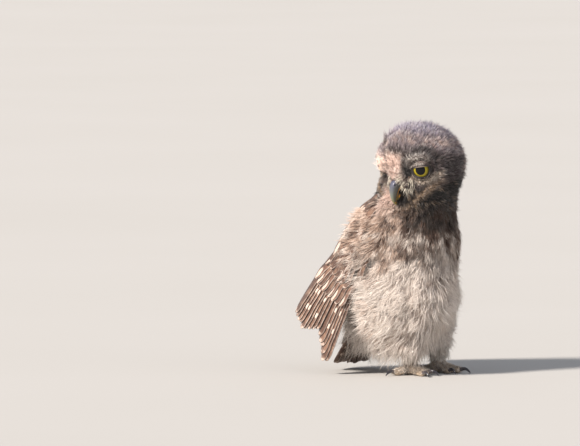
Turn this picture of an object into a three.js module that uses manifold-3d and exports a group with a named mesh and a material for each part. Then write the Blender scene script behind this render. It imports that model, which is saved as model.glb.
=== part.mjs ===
// A fledgling little owl, life size, standing on both feet with its head turned to its right.
// Lengths are millimetres and +Z is up. The pieces are shaped with the owl facing -Y, its left
// side towards +X and its feet on z = 0, and the finished group is then moved so that its
// origin is the bottom centre of its box.

import * as THREE from "three";
import { mergeVertices } from "three/addons/utils/BufferGeometryUtils.js";
import Module from "manifold-3d";

const wasm = await Module();
wasm.setup();

const vec = (x, y, z) => new THREE.Vector3(x, y, z);
const radians = THREE.MathUtils.degToRad;
const smoothstep = THREE.MathUtils.smoothstep;
const lerp = THREE.MathUtils.lerp;
const UP = vec(0, 0, 1);

// Driving dimensions
const GAP = 0.3; // between neighbouring pieces
const HEAD_TURN = 91.5; // degrees that the head is turned to the owl's right
const HEAD_NOD = 17; // degrees that the bill points down
const HEAD_ROLL = 5; // degrees that the crown leans to the head's own left
const EYE_RADIUS = 8.4;
const EYE_APART = 35; // between the centres of the two eyes
const FEET_APART = 30;
const VANE_THICK = 0.6;
const VANE_RIDGE = 0.2; // the shaft standing out of a feather's face
const TIP_VARIES = 0.6; // how far a feather's tip is off its row, either way
const SLIVER = 0.05; // detail smaller than this is dropped from the wings and tail

// The rounded masses of the coat, with the outline that the tips of the down reach
const MASSES = {
  head: { centre: vec(-10, -7, 159), half: vec(33, 33, 31) },
  collar: { centre: vec(-7, 2, 130), half: vec(31, 29, 22) },
  breast: { centre: vec(-5, 7, 100), half: vec(38, 36, 40) },
  belly: { centre: vec(-6, 17, 60), half: vec(45, 43, 44) },
  rump: { centre: vec(-8, 41, 44), half: vec(26, 25, 25) },
  thighRight: { centre: vec(-14, 5, 34), half: vec(14, 14, 16) },
  thighLeft: { centre: vec(17, 5, 34), half: vec(14, 14, 16) },
};
const BLEND = 12; // how softly one mass runs into the next
const TORSO_CENTRE = vec(-5, 15, 72);
const NECK_CENTRE = vec(-6.5, 1, 125);
const NECK_TOP = { point: vec(-9, -3, 130.5), normal: vec(-0.15, -0.1, 1).normalize() };
const NECK_FOOT = { point: vec(-5, 2, 114), normal: vec(-0.08, -0.16, 1).normalize() };

// The head's own axes: x to its right, y forwards and z up
const headYaw = radians(-90 - HEAD_TURN);
const headForward = vec(Math.cos(headYaw), Math.sin(headYaw), 0)
  .multiplyScalar(Math.cos(radians(HEAD_NOD)))
  .addScaledVector(UP, -Math.sin(radians(HEAD_NOD)));
const headRight = new THREE.Vector3()
  .crossVectors(headForward, UP)
  .normalize()
  .applyAxisAngle(headForward, radians(-HEAD_ROLL));
const headUp = new THREE.Vector3().crossVectors(headRight, headForward);
const headFrame = new THREE.Matrix4()
  .makeBasis(headRight, headForward, headUp)
  .setPosition(MASSES.head.centre);
const headFrameBack = headFrame.clone().invert();

// Closed bodies

// Joins matching rings of points into one closed body. From ring index twinFrom on, the
// quads are split the other way, so that both faces of a thin vane are creased alike.
function ringBody(rings, twinFrom = Infinity) {
  const sides = rings[0].length;
  const positions = rings.flat().flatMap((p) => [p.x, p.y, p.z]);
  const faces = [];
  for (let k = 0; k + 1 < rings.length; k += 1) {
    for (let j = 0; j < sides; j += 1) {
      const a = k * sides + j;
      const b = k * sides + ((j + 1) % sides);
      const c = a + sides;
      const d = b + sides;
      if (j < twinFrom) faces.push([a, b, d], [a, d, c]);
      else faces.push([a, b, c], [b, d, c]);
    }
  }
  const last = (rings.length - 1) * sides;
  for (let j = 1; j + 1 < sides; j += 1) {
    faces.push([0, j + 1, j], [last, last + j, last + j + 1]);
  }
  return closedBody(positions, faces);
}

// A geometry from points and triangles, turned outwards if it was inside out
function closedBody(positions, faces) {
  const at = (i) => vec(positions[3 * i], positions[3 * i + 1], positions[3 * i + 2]);
  const volume = faces.reduce((sum, [a, b, c]) => sum + at(a).dot(at(b).cross(at(c))), 0);
  const order = volume < 0 ? faces.map(([a, b, c]) => [a, c, b]) : faces;
  const geometry = new THREE.BufferGeometry();
  geometry.setAttribute("position", new THREE.Float32BufferAttribute(positions, 3));
  geometry.setIndex(order.flat());
  return geometry;
}

// An oval section of sides points at a station, across a path that runs along tangent
function ovalRing(station, tangent, across, sides, grow) {
  const rise = new THREE.Vector3().crossVectors(across, tangent).normalize();
  return Array.from({ length: sides }, (_, j) => {
    const turn = (2 * Math.PI * (j + 0.5)) / sides;
    return station.at
      .clone()
      .addScaledVector(across, Math.cos(turn) * (station.wide + grow))
      .addScaledVector(rise, Math.sin(turn) * (station.deep + grow));
  });
}

// A body through stations { at, wide, deep }, whose path lies in one plane square to across
function loft(stations, across, sides, grow = 0) {
  const last = stations.length - 1;
  const rings = stations.map((station, k) => {
    const before = stations[Math.max(0, k - 1)].at;
    const after = stations[Math.min(last, k + 1)].at;
    const tangent = after.clone().sub(before).normalize();
    const shift = k === 0 ? -grow : k === last ? grow : 0;
    const moved = { ...station, at: station.at.clone().addScaledVector(tangent, shift) };
    return ovalRing(moved, tangent, across, sides, grow);
  });
  return ringBody(rings);
}

// A ball of triangles whose points are sent to reach(direction)
function starSurface(detail, reach) {
  const geometry = bare(new THREE.IcosahedronGeometry(1, detail));
  const spots = geometry.getAttribute("position");
  const direction = new THREE.Vector3();
  for (let i = 0; i < spots.count; i += 1) {
    direction.fromBufferAttribute(spots, i).normalize();
    const p = reach(direction.clone());
    spots.setXYZ(i, p.x, p.y, p.z);
  }
  return geometry;
}

// A geometry with its position alone and its shared points merged
function bare(geometry) {
  const plain = geometry.index ? geometry.toNonIndexed() : geometry.clone();
  plain.deleteAttribute("normal");
  plain.deleteAttribute("uv");
  return mergeVertices(plain, 1e-5);
}

function solid(geometry) {
  const mesh = bare(geometry);
  return new wasm.Manifold(
    new wasm.Mesh({
      numProp: 3,
      vertProperties: new Float32Array(mesh.getAttribute("position").array),
      triVerts: new Uint32Array(mesh.index.array),
    }),
  );
}

const union = (bodies) => bodies.reduce((whole, body) => whole.add(body));

// The part of a body on the side of a plane that its normal points to
const above = (body, point, normal, lift = 0) =>
  body.trimByPlane(normal.toArray(), point.dot(normal) + lift);

const below = (body, point, normal, drop = 0) =>
  body.trimByPlane(normal.clone().negate().toArray(), drop - point.dot(normal));

// Repeatable values between -1 and 1
function variation(seed) {
  const modulus = 2147483647;
  let state = seed;
  return () => {
    state = (state * 16807) % modulus;
    return (2 * state) / modulus - 1;
  };
}
const vary = variation(20261);

// The largest closed surface of a solid, as a geometry
function largest(body) {
  const pieces = body.decompose();
  const kept = pieces.reduce((best, piece) => (piece.volume() > best.volume() ? piece : best));
  const { vertProperties, triVerts, numProp } = kept.getMesh();
  if (numProp !== 3) throw new Error("the mesh carries more than positions");
  const geometry = new THREE.BufferGeometry();
  geometry.setAttribute("position", new THREE.BufferAttribute(vertProperties, 3));
  geometry.setIndex(new THREE.BufferAttribute(triVerts, 1));
  geometry.computeVertexNormals();
  return geometry;
}

// The coat's outline as one soft field, negative inside

function ellipsoidDistance(p, { centre, half }) {
  const x = (p.x - centre.x) / half.x;
  const y = (p.y - centre.y) / half.y;
  const z = (p.z - centre.z) / half.z;
  const near = Math.hypot(x, y, z);
  const slope = Math.hypot(x / half.x, y / half.y, z / half.z);
  return slope < 1e-9 ? -half.x : (near * (near - 1)) / slope;
}

function softer(a, b) {
  const share = Math.max(BLEND - Math.abs(a - b), 0) / BLEND;
  return Math.min(a, b) - (share * share * BLEND) / 4;
}

const coatField = (p) =>
  Object.values(MASSES)
    .map((mass) => ellipsoidDistance(p, mass))
    .reduce(softer);

// The first point from centre along a direction where the field rises past level
function firstCrossing(centre, direction, level) {
  const step = 2;
  let inside = 0;
  const height = (r) => coatField(centre.clone().addScaledVector(direction, r)) - level;
  while (height(inside + step) < 0) inside += step;
  let outside = inside + step;
  for (let i = 0; i < 14; i += 1) {
    const middle = (inside + outside) / 2;
    if (height(middle) < 0) inside = middle;
    else outside = middle;
  }
  return centre.clone().addScaledVector(direction, outside);
}

const coatFrom = (centre, detail, level) =>
  solid(starSurface(detail, (d) => firstCrossing(centre, d, level)));

// Torso and neck

const torsoCoat = (level) => coatFrom(TORSO_CENTRE, 7, level);
const neckCoat = (level) => coatFrom(NECK_CENTRE, 6, level);
// What the wings, tail and legs are cut back from
const torsoRoom = torsoCoat(GAP);
const neckRoom = neckCoat(GAP);

function torso() {
  return below(torsoCoat(0), NECK_FOOT.point, NECK_FOOT.normal, GAP / 2);
}

function neck() {
  const ring = above(neckCoat(0), NECK_FOOT.point, NECK_FOOT.normal, GAP / 2);
  return below(ring, NECK_TOP.point, NECK_TOP.normal, GAP / 2);
}

// Head, with the two dishes of the facial disc, the brows and the lids. Points here are in
// the head's own axes.
const FACE = {
  plane: 25.5, // the face is flattened forward of this
  flatten: 0.42,
  eyeForward: 16.4,
  eyeUp: 4.3,
  gazeOut: 11, // degrees that each eye looks to its own side
  dishDeep: 3.4,
  dishWide: 9,
  browHigh: 2.8,
  browFrom: 11.5, // from the eye's centre to the brow's crest
  browThick: 2.6,
  rimHigh: 1.6,
  rimFrom: 19,
  rimThick: 4.5,
  ridgeHigh: 3.4, // the ridge of bristles between the eyes
  ridgeWide: 4.4,
};
const LID_THICK = 0.8;
const LID_OPENING = { radius: 6.6, top: 3.4, drop: 0 };
const eyeSides = { right: 1, left: -1 };

const eyeCentre = (side) => vec((side * EYE_APART) / 2, FACE.eyeForward, FACE.eyeUp);
const gaze = (side) =>
  vec(side * Math.sin(radians(FACE.gazeOut)), Math.cos(radians(FACE.gazeOut)), 0);

const bump = (distance, width) => Math.exp(-((distance / width) ** 2));

function facialRelief(p) {
  const front = smoothstep(p.y, 3, 18);
  let y = p.y;
  if (y > FACE.plane) y = FACE.plane + (y - FACE.plane) * FACE.flatten;
  for (const side of Object.values(eyeSides)) {
    const across = p.x - eyeCentre(side).x;
    const up = p.z - FACE.eyeUp;
    const away = Math.hypot(across, up);
    const upwards = smoothstep(up / (away + 1e-6), 0.1, 0.8);
    y -= front * FACE.dishDeep * bump(away, FACE.dishWide);
    y += front * FACE.browHigh * upwards * bump(away - FACE.browFrom, FACE.browThick);
    if (across * side > 0) {
      y += front * FACE.rimHigh * (1 - upwards) * bump(away - FACE.rimFrom, FACE.rimThick);
    }
  }
  y += front * FACE.ridgeHigh * bump(p.x, FACE.ridgeWide) * smoothstep(-p.z, -12, 2);
  return vec(p.x, y, p.z);
}

// Draws the directions of a ball towards the face, so that its triangles are finer there
function towardsFace(direction) {
  const share = 0.5;
  const turn = direction.angleTo(headForward);
  if (turn < 1e-4 || turn > Math.PI - 1e-4) return direction;
  const closer = turn * (1 - share + (share * turn) / Math.PI);
  const axis = new THREE.Vector3().crossVectors(headForward, direction).normalize();
  return headForward.clone().applyAxisAngle(axis, closer);
}

function headCoat() {
  const surface = starSurface(8, (direction) => {
    const hit = firstCrossing(MASSES.head.centre, towardsFace(direction), 0);
    return facialRelief(hit.applyMatrix4(headFrameBack)).applyMatrix4(headFrame);
  });
  return above(solid(surface), NECK_TOP.point, NECK_TOP.normal, GAP / 2);
}

const ball = (centre, radius, detail) =>
  solid(
    starSurface(detail, (d) => centre.clone().addScaledVector(d, radius).applyMatrix4(headFrame)),
  );

// The opening between the lids: a disc with its top cut off, run out along the gaze
function lidOpening(side) {
  const { radius, top, drop } = LID_OPENING;
  const start = Math.asin(top / radius);
  const shape = new THREE.Shape();
  shape.absarc(0, drop, radius, Math.PI - start, 2 * Math.PI + start, false);
  const cutter = new THREE.ExtrudeGeometry(shape, {
    depth: 2 * EYE_RADIUS,
    bevelEnabled: false,
    curveSegments: 14,
  });
  const forward = gaze(side);
  const right = new THREE.Vector3().crossVectors(UP, forward).normalize();
  cutter.applyMatrix4(
    new THREE.Matrix4().makeBasis(right, UP, forward).setPosition(eyeCentre(side)),
  );
  return solid(cutter.applyMatrix4(headFrame));
}

function eye(side, grow = 0) {
  const cornea = 0.7;
  const look = gaze(side);
  return solid(
    starSurface(3, (d) => {
      const swell = cornea * smoothstep(d.dot(look), 0.72, 0.95);
      const reach = EYE_RADIUS + grow + swell;
      return eyeCentre(side).addScaledVector(d, reach).applyMatrix4(headFrame);
    }),
  );
}

// Bill: the hooked upper half with its cere and nostrils, and the lower half under it

const BILL_SIDES = 10;
const upperStations = [
  { at: vec(0, 20, -5.0), wide: 4.6, deep: 4.4 },
  { at: vec(0, 27, -5.4), wide: 4.8, deep: 4.5 },
  { at: vec(0, 31.2, -8.2), wide: 4.4, deep: 4.0 },
  { at: vec(0, 33.2, -12.2), wide: 3.5, deep: 3.2 },
  { at: vec(0, 33.8, -16.2), wide: 2.4, deep: 2.3 },
  { at: vec(0, 33.0, -19.6), wide: 1.3, deep: 1.3 },
  { at: vec(0, 31.6, -21.8), wide: 0.4, deep: 0.4 },
];
const lowerStations = [
  { at: vec(0, 20, -10.5), wide: 3.9, deep: 2.6 },
  { at: vec(0, 26, -12.5), wide: 3.5, deep: 2.4 },
  { at: vec(0, 29, -15.2), wide: 2.6, deep: 1.8 },
  { at: vec(0, 30.4, -18.0), wide: 1.2, deep: 0.9 },
];
const NOSTRIL = { at: vec(2.9, 31.4, -5.6), radius: 0.9, cere: 1.9 };

const mandible = (stations, grow = 0) =>
  solid(loft(stations, vec(1, 0, 0), BILL_SIDES, grow).applyMatrix4(headFrame));

const onBothSides = (make) =>
  Object.values(eyeSides).map((side) => make(side));

function billUpper(grow = 0) {
  const nostril = (side) => NOSTRIL.at.clone().multiply(vec(side, 1, 1));
  const cere = onBothSides((side) =>
    ball(nostril(side).add(vec(-side * 0.9, -1.2, 0)), NOSTRIL.cere + grow, 2),
  );
  const whole = union([mandible(upperStations, grow), ...cere]);
  if (grow) return whole;
  return onBothSides((side) => ball(nostril(side), NOSTRIL.radius, 1)).reduce(
    (body, hole) => body.subtract(hole),
    whole,
  );
}

const billLower = () => mandible(lowerStations).subtract(billUpper(GAP));

function head() {
  const lids = onBothSides((side) => ball(eyeCentre(side), EYE_RADIUS + GAP + LID_THICK, 3));
  const cuts = [
    ...onBothSides((side) => eye(side, GAP)),
    ...onBothSides(lidOpening),
    billUpper(GAP),
    mandible(lowerStations, GAP),
  ];
  return cuts.reduce((body, cut) => body.subtract(cut), union([headCoat(), ...lids]));
}

// Wings and tail are laid out on bent sheets. A point on a sheet is s along the feathers,
// q across them and h out from the sheet.

// Right-angled axes from where a sheet starts, where it ends and roughly which way is across
function sheetAxes({ start, end, across, bow, curl }) {
  const along = end.clone().sub(start);
  const length = along.length();
  along.normalize();
  const side = across.clone().addScaledVector(along, -across.dot(along)).normalize();
  const out = new THREE.Vector3().crossVectors(along, side);
  return { start, along, side, out, length, bow, curl };
}

function onSheet(sheet, s, q, h) {
  const bend = sheet.bow * Math.sin((Math.PI * s) / sheet.length) - (q * q) / (2 * sheet.curl);
  return sheet.start
    .clone()
    .addScaledVector(sheet.along, s)
    .addScaledVector(sheet.side, q * sheet.hand)
    .addScaledVector(sheet.out, (h + bend) * sheet.hand);
}

// On the right wing across points forwards, and out points away from the body
const WING = {
  right: {
    ...sheetAxes({
      start: vec(-38, 9, 128),
      end: vec(-58, 66, 26),
      across: vec(-0.12, -0.96, -0.22),
      bow: 4,
      curl: 80,
    }),
    hand: 1,
  },
  left: {
    ...sheetAxes({
      start: vec(30, 9, 128),
      end: vec(35, 64, 19),
      across: vec(-0.12, 0.96, 0.22),
      bow: 11,
      curl: 70,
    }),
    hand: -1,
  },
};
WING.left.out.negate();
WING.left.side.negate();

const TAIL = {
  ...sheetAxes({
    start: vec(-7, 47, 44),
    end: vec(-9, 75, 4.5),
    across: vec(-1, 0, 0),
    bow: 1.5,
    curl: 45,
  }),
  hand: 1,
};

// How far out a rounded pad's face lies over a point of its sheet, and how far in its back
const padFace = (pad, s, q) => {
  const left = 1 - ((s - pad.at) / pad.long) ** 2 - ((q - pad.middle) / pad.half) ** 2;
  return pad.high * Math.sqrt(Math.max(left, 0));
};

const padBody = (sheet, pad, detail) =>
  solid(
    starSurface(detail, ({ x, y, z }) =>
      onSheet(
        sheet,
        pad.at + x * pad.long,
        pad.middle + y * pad.half,
        pad.sink + z * pad.high,
      ),
    ),
  );

// The outline of a feather: how far along, and how wide there as a share of its width
const FLIGHT_OUTLINE = [
  [0, 0.5],
  [0.35, 0.92],
  [0.7, 1],
  [0.92, 0.78],
  [1, 0.34],
];
const COVERT_OUTLINE = [
  [0, 0.55],
  [0.72, 1],
  [1, 0.36],
];

// A feather on a sheet, from its root to its tip, each [s, q]. The function height(s, q, t)
// gives how far out its shaft lies, and tilt raises its edge towards +q. One whose face is
// -1 lies with its outer face towards the sheet's back.
function vane(sheet, { root, tip, wide, outline, height, tilt = 0, face = 1 }) {
  const ahead = new THREE.Vector2(tip[0] - root[0], tip[1] - root[1]).normalize();
  const front = VANE_THICK / 2;
  const rings = outline.map(([t, share]) => {
    const s = lerp(root[0], tip[0], t);
    const q = lerp(root[1], tip[1], t);
    const spot = (across, rise) => {
      const c = (across * wide * share) / 2;
      const h = height(s, q, t) + tilt * c + face * rise;
      return onSheet(sheet, s - ahead.y * c, q + ahead.x * c, h);
    };
    return [
      spot(-1, front),
      spot(0, front + VANE_RIDGE),
      spot(1, front),
      spot(1, -front),
      spot(0, -front),
      spot(-1, -front),
    ];
  });
  return solid(ringBody(rings, 3));
}

// Wing: a pad of arm and flesh, with the flight feathers run out from it like a half-shut
// fan, the inner ones outermost, and tiers of coverts lapping over their roots
const WING_PAD = { at: 30, middle: 2, long: 38, half: 20, high: 5.4, sink: -1.2 };
const SECONDARIES = {
  count: 7, roots: [42, 47], from: [-11, -28], to: [3.7, -0.5], tips: [110, 111], wide: 12.5,
  round: 5, // how much further the middle ones reach
};
const PRIMARIES = {
  count: 5, roots: [48.4, 52], from: [6.2, 6], to: [16, 21], tips: [117, 124], wide: 10.5,
  round: 2,
};
// The heights of the innermost and outermost flight feathers, the slope of each, and over
// which s the coverts' ground passes from the pad to the fan's face
const FAN = { high: 2.6, low: -2.2, tilt: 0.27, edge: 18, swell: 2.2, passes: [50, 66] };

const fanHeight = (share) => lerp(FAN.high, FAN.low, share);

const wingFace = (s, q) => {
  const pad = WING_PAD.sink + padFace(WING_PAD, s, q);
  const fan = fanHeight((q + FAN.edge) / (2 * FAN.edge)) + FAN.swell;
  return Math.max(pad, lerp(pad, fan, smoothstep(s, ...FAN.passes)));
};

const tailFace = (s, q, least) => Math.max(padFace(RUMP_PAD, s, q), least);

// A height that starts under a face and ends standing out of it
const COVERT_ROOT = -1.8;
const lapped = (rise, face) => (s, q, t) => face(s, q) + lerp(COVERT_ROOT, rise, t ** 0.6);

// A row of feathers, its [s, q] roots and tips spread from its first feather to its last
function row(sheet, { count, roots, from, tips, to, wide, round = 0 }, shape) {
  return Array.from({ length: count }, (_, i) => {
    const u = i / (count - 1);
    const reach = lerp(...tips, u) + round * Math.sin(u * Math.PI) + TIP_VARIES * vary();
    return vane(sheet, {
      root: [lerp(...roots, u), lerp(from[0], to[0], u)],
      tip: [reach, lerp(from[1], to[1], u)],
      wide,
      ...shape(i, u),
    });
  });
}

function flightFeathers(sheet) {
  const last = SECONDARIES.count + PRIMARIES.count - 1;
  const shape = (before) => (i) => ({
    outline: FLIGHT_OUTLINE,
    height: () => fanHeight((before + i) / last),
    tilt: FAN.tilt,
  });
  return [
    ...row(sheet, SECONDARIES, shape(0)),
    ...row(sheet, PRIMARIES, shape(SECONDARIES.count)),
  ];
}

// Greater, middle and lesser coverts, the scapulars over the back edge and the thumb's
// feathers over the front edge, each with how far its tips stand out
const COVERTS = {
  greater: {
    count: 7, roots: [48, 53], from: [-11, -15], to: [16, 18], tips: [72, 77], wide: 9.5,
    rise: 1.3, tilt: 0.17,
  },
  middle: {
    count: 6, roots: [26, 32], from: [-10, -11], to: [17, 17], tips: [51, 57], wide: 10,
    rise: 1.2, tilt: 0.17,
  },
  lesser: {
    count: 5, roots: [8, 13], from: [-10, -10], to: [16, 18], tips: [31, 37], wide: 10.5,
    rise: 1.2, tilt: 0.17,
  },
  scapulars: {
    count: 3, roots: [0, 24], from: [-14, -17], to: [-10, -11.5], tips: [25, 54], wide: 9.5,
    rise: 2.1, tilt: 0.1,
  },
  thumb: {
    count: 2, roots: [38, 42], from: [19, 20], to: [18, 18], tips: [60, 67], wide: 6.5,
    rise: 0.6, tilt: 0.15,
  },
};

function wing(side) {
  const sheet = WING[side];
  const coverts = Object.values(COVERTS).flatMap((tier) =>
    row(sheet, tier, () => ({
      outline: COVERT_OUTLINE,
      height: lapped(tier.rise, wingFace),
      tilt: tier.tilt,
    })),
  );
  const whole = union([padBody(sheet, WING_PAD, 3), ...flightFeathers(sheet), ...coverts]);
  return whole.subtract(torsoRoom).subtract(neckRoom).simplify(SLIVER);
}

// Tail: a short fan from the rump, its middle feather outermost, with coverts over and
// under its root
const RUMP_PAD = { at: 14, middle: 0, long: 21, half: 14, high: 6, sink: 0 };
const TAIL_FEATHERS = {
  count: 11, roots: [16, 16], from: [-10.5, -16.5], to: [10.5, 16.5],
  tips: [TAIL.length - 4, TAIL.length - 4], wide: 8.8, round: 4,
};
const TAIL_FALL = { middle: 1, step: 0.48, tilt: 0.22 };
const TAIL_COVERTS = {
  count: 4, roots: [14, 14], from: [-7.5, -9.6], to: [7.5, 9.6], tips: [33.8, 33.8], wide: 9,
  round: 2.3,
};
// How far out the two sides' coverts lie at least, and by how much the middle pair is over
// the outer pair
const TAIL_COVERT_LEAST = { over: 1.6, under: 3.4, middle: 1, rise: 0.7 };

function tail() {
  const feathers = row(TAIL, TAIL_FEATHERS, (i) => {
    const away = i - (TAIL_FEATHERS.count - 1) / 2;
    return {
      outline: FLIGHT_OUTLINE,
      height: () => (away === 0 ? TAIL_FALL.middle : -TAIL_FALL.step * Math.abs(away)),
      tilt: TAIL_FALL.tilt * Math.sign(away),
    };
  });
  const covertRow = (face, least) =>
    row(TAIL, TAIL_COVERTS, (i) => {
      const lift = i % 3 === 0 ? 0 : TAIL_COVERT_LEAST.middle;
      const height = lapped(TAIL_COVERT_LEAST.rise, (s, q) => tailFace(s, q, least) + lift);
      return { outline: COVERT_OUTLINE, height: (...spot) => face * height(...spot), face };
    });
  const whole = union([
    padBody(TAIL, RUMP_PAD, 3),
    ...feathers,
    ...covertRow(1, TAIL_COVERT_LEAST.over),
    ...covertRow(-1, TAIL_COVERT_LEAST.under),
  ]);
  return whole.subtract(torsoRoom).simplify(SLIVER);
}

// Legs and feet

const LEG = { top: 44, wideTop: 10, wideFoot: 5.2, ankle: 9.2 };
const legSides = {
  right: { x: -11, y: 4, outwards: -1 },
  left: { x: -11 + FEET_APART, y: 4, outwards: 1 },
};
// Each toe: degrees from straight ahead to the owl's outer side, length without its claw
const TOES = {
  inner: { turn: -14, long: 16 },
  middle: { turn: 16, long: 19 },
  outer: { turn: 98, long: 15 },
  hind: { turn: -162, long: 11 },
};
const CLAW_LONG = 8.4;

function leg(side) {
  const { x, y } = legSides[side];
  const stations = [
    { at: vec(x, y, LEG.top), wide: LEG.wideTop, deep: LEG.wideTop },
    { at: vec(x, y, 26), wide: 8.2, deep: 8.2 },
    { at: vec(x, y - 0.5, 16), wide: 6.4, deep: 6.2 },
    { at: vec(x, y - 0.5, LEG.ankle), wide: LEG.wideFoot, deep: LEG.wideFoot },
  ];
  return solid(loft(stations, vec(1, 0, 0), 12)).subtract(torsoRoom);
}

function toeAxes(side, toe) {
  const { x, y, outwards } = legSides[side];
  const turn = radians(TOES[toe].turn);
  const ahead = vec(outwards * Math.sin(turn), -Math.cos(turn), 0);
  const across = new THREE.Vector3().crossVectors(ahead, UP);
  const at = (reach, z) => vec(x, y - 0.5, z).addScaledVector(ahead, reach);
  return { at, across };
}

function toeBody(side, toe, grow = 0) {
  const { at, across } = toeAxes(side, toe);
  const long = TOES[toe].long;
  const stations = [
    { at: at(0, 5.4), wide: 3.4, deep: 3.2 },
    { at: at(long * 0.35, 4.3), wide: 2.9, deep: 2.7 },
    { at: at(long * 0.62, 2.7), wide: 2.5, deep: 2.5 },
    { at: at(long * 0.9, 2.1), wide: 2.5, deep: 2.3 },
    { at: at(long, 2.4), wide: 1.7, deep: 1.6 },
  ];
  return solid(loft(stations, across, 8, grow));
}

const onFloor = (body) => above(body, vec(0, 0, 0), UP);

function foot(side) {
  const { x, y } = legSides[side];
  const hub = solid(
    starSurface(2, (d) => vec(x + d.x * 5.2, y - 0.5 + d.y * 5.2, 5.2 + d.z * 5.4)),
  );
  const toes = Object.keys(TOES).map((toe) => toeBody(side, toe));
  const whole = below(union([hub, ...toes]), vec(0, 0, LEG.ankle), UP, GAP);
  return onFloor(whole);
}

function claw(side, toe) {
  const { at, across } = toeAxes(side, toe);
  const from = TOES[toe].long;
  const stations = [
    { at: at(from - 0.6, 2.5), wide: 1.35, deep: 1.4 },
    { at: at(from + CLAW_LONG * 0.3, 3.5), wide: 1.25, deep: 1.3 },
    { at: at(from + CLAW_LONG * 0.6, 3.2), wide: 0.95, deep: 1.05 },
    { at: at(from + CLAW_LONG * 0.86, 1.7), wide: 0.65, deep: 0.7 },
    { at: at(from + CLAW_LONG, 0.1), wide: 0.3, deep: 0.3 },
  ];
  return onFloor(solid(loft(stations, across, 6))).subtract(toeBody(side, toe, GAP));
}

// Materials, from the photograph's colours

const finish = (color, roughness) =>
  new THREE.MeshStandardMaterial({ color, roughness, metalness: 0 });

const MATERIALS = {
  down: finish(0xb9a79a, 0.95),
  headDown: finish(0x8d8389, 0.95),
  flight: finish(0x6d5240, 0.8),
  horn: finish(0x8f9a8c, 0.4),
  iris: finish(0xc9b32a, 0.15),
  toe: finish(0xb8a590, 0.85),
  claw: finish(0x2b2729, 0.35),
};

const owl = new THREE.Group();

function addPiece(name, body, material) {
  const mesh = new THREE.Mesh(largest(body), MATERIALS[material]);
  mesh.name = name;
  owl.add(mesh);
}

addPiece("head", head(), "headDown");
addPiece("neck", neck(), "down");
addPiece("torso", torso(), "down");
addPiece("bill_upper", billUpper(), "horn");
addPiece("bill_lower", billLower(), "horn");
addPiece("tail", tail(), "flight");
for (const [name, side] of Object.entries(eyeSides)) {
  addPiece(`eye_${name}`, eye(side), "iris");
}
for (const side of Object.keys(legSides)) {
  addPiece(`wing_${side}`, wing(side), "flight");
  addPiece(`leg_${side}`, leg(side), "down");
  addPiece(`foot_${side}`, foot(side), "toe");
  for (const toe of Object.keys(TOES)) {
    addPiece(`claw_${side}_${toe}`, claw(side, toe), "claw");
  }
}

// The origin goes to the bottom centre of the whole owl's box
const box = new THREE.Box3().setFromObject(owl);
const middle = box.getCenter(new THREE.Vector3());
owl.position.set(-middle.x, -middle.y, -box.min.z);
owl.updateMatrixWorld(true);

export default owl;
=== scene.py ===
import math
from functools import partial

import bpy
import numpy as np
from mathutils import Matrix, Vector, noise


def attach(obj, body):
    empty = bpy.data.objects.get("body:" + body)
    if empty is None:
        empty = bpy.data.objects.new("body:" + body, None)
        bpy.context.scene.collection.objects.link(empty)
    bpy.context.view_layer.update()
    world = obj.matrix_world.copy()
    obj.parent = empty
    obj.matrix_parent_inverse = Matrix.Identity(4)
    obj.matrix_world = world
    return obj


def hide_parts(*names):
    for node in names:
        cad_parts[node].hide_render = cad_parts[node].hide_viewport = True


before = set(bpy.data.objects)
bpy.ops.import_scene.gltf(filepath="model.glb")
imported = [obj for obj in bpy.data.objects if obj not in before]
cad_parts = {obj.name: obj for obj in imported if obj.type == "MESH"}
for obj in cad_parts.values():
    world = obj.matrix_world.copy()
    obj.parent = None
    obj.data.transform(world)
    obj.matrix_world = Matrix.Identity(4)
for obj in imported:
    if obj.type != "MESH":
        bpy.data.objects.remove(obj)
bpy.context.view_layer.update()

# The skin: one soft body under the down, from the crown to the ankles, with the arms of the
# wings and the root of the tail in it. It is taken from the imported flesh, with the thin cuts
# closed, and drawn in by the depth of the coat.
MM = 0.001
FLESH = ["head", "neck", "torso", "leg_right", "leg_left"]
ANKLE = (-11, 3.5, 9.2)  # the middle of the right leg's lowest ring, in the owl's axes
CUT_CLOSER = 0.35 * MM
SKIN_VOXEL = 1.2 * MM
EYE_FILLER, BILL_FILLER = 8.3, 6.2


def vectors_of(rows, field):
    found = np.empty(len(rows) * 3, np.float32)
    rows.foreach_get(field, found)
    return found.reshape(-1, 3).astype(float)


def points_of(piece):
    return vectors_of(piece.data.vertices, "co")


def normals_of(piece):
    return vectors_of(piece.data.vertex_normals, "vector")


leg_points = points_of(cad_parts["leg_right"])
lowest_ring = leg_points[leg_points[:, 2] < leg_points[:, 2].min() + 0.1 * MM]
SHIFT = (lowest_ring.min(0) + lowest_ring.max(0)) / 2 - np.array(ANKLE) * MM


def owl(*place):
    return SHIFT + np.array(place) * MM


def in_owl(places):
    """The x, y and z of places in the owl's own axes."""
    return ((places - SHIFT) / MM).T


def unit(vectors):
    return vectors / (np.linalg.norm(vectors, axis=-1, keepdims=True) + 1e-12)


# The head's own axes: x to its right, y forwards along the bill and z up, with its turn, nod
# and lean in degrees
HEAD_TURN, HEAD_NOD, HEAD_ROLL = 91.5, 17, 5
HEAD_MIDDLE = owl(-10, -7, 159)
EYE_SIDES = {"right": 1, "left": -1}
EYE_RADIUS, EYE_APART, EYE_FORWARD, EYE_UP = 8.4, 35, 16.4, 4.3
GAZE_OUT, GAZE_UP = 32, 11  # the way each eye looks, in degrees from the head's own forwards

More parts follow.
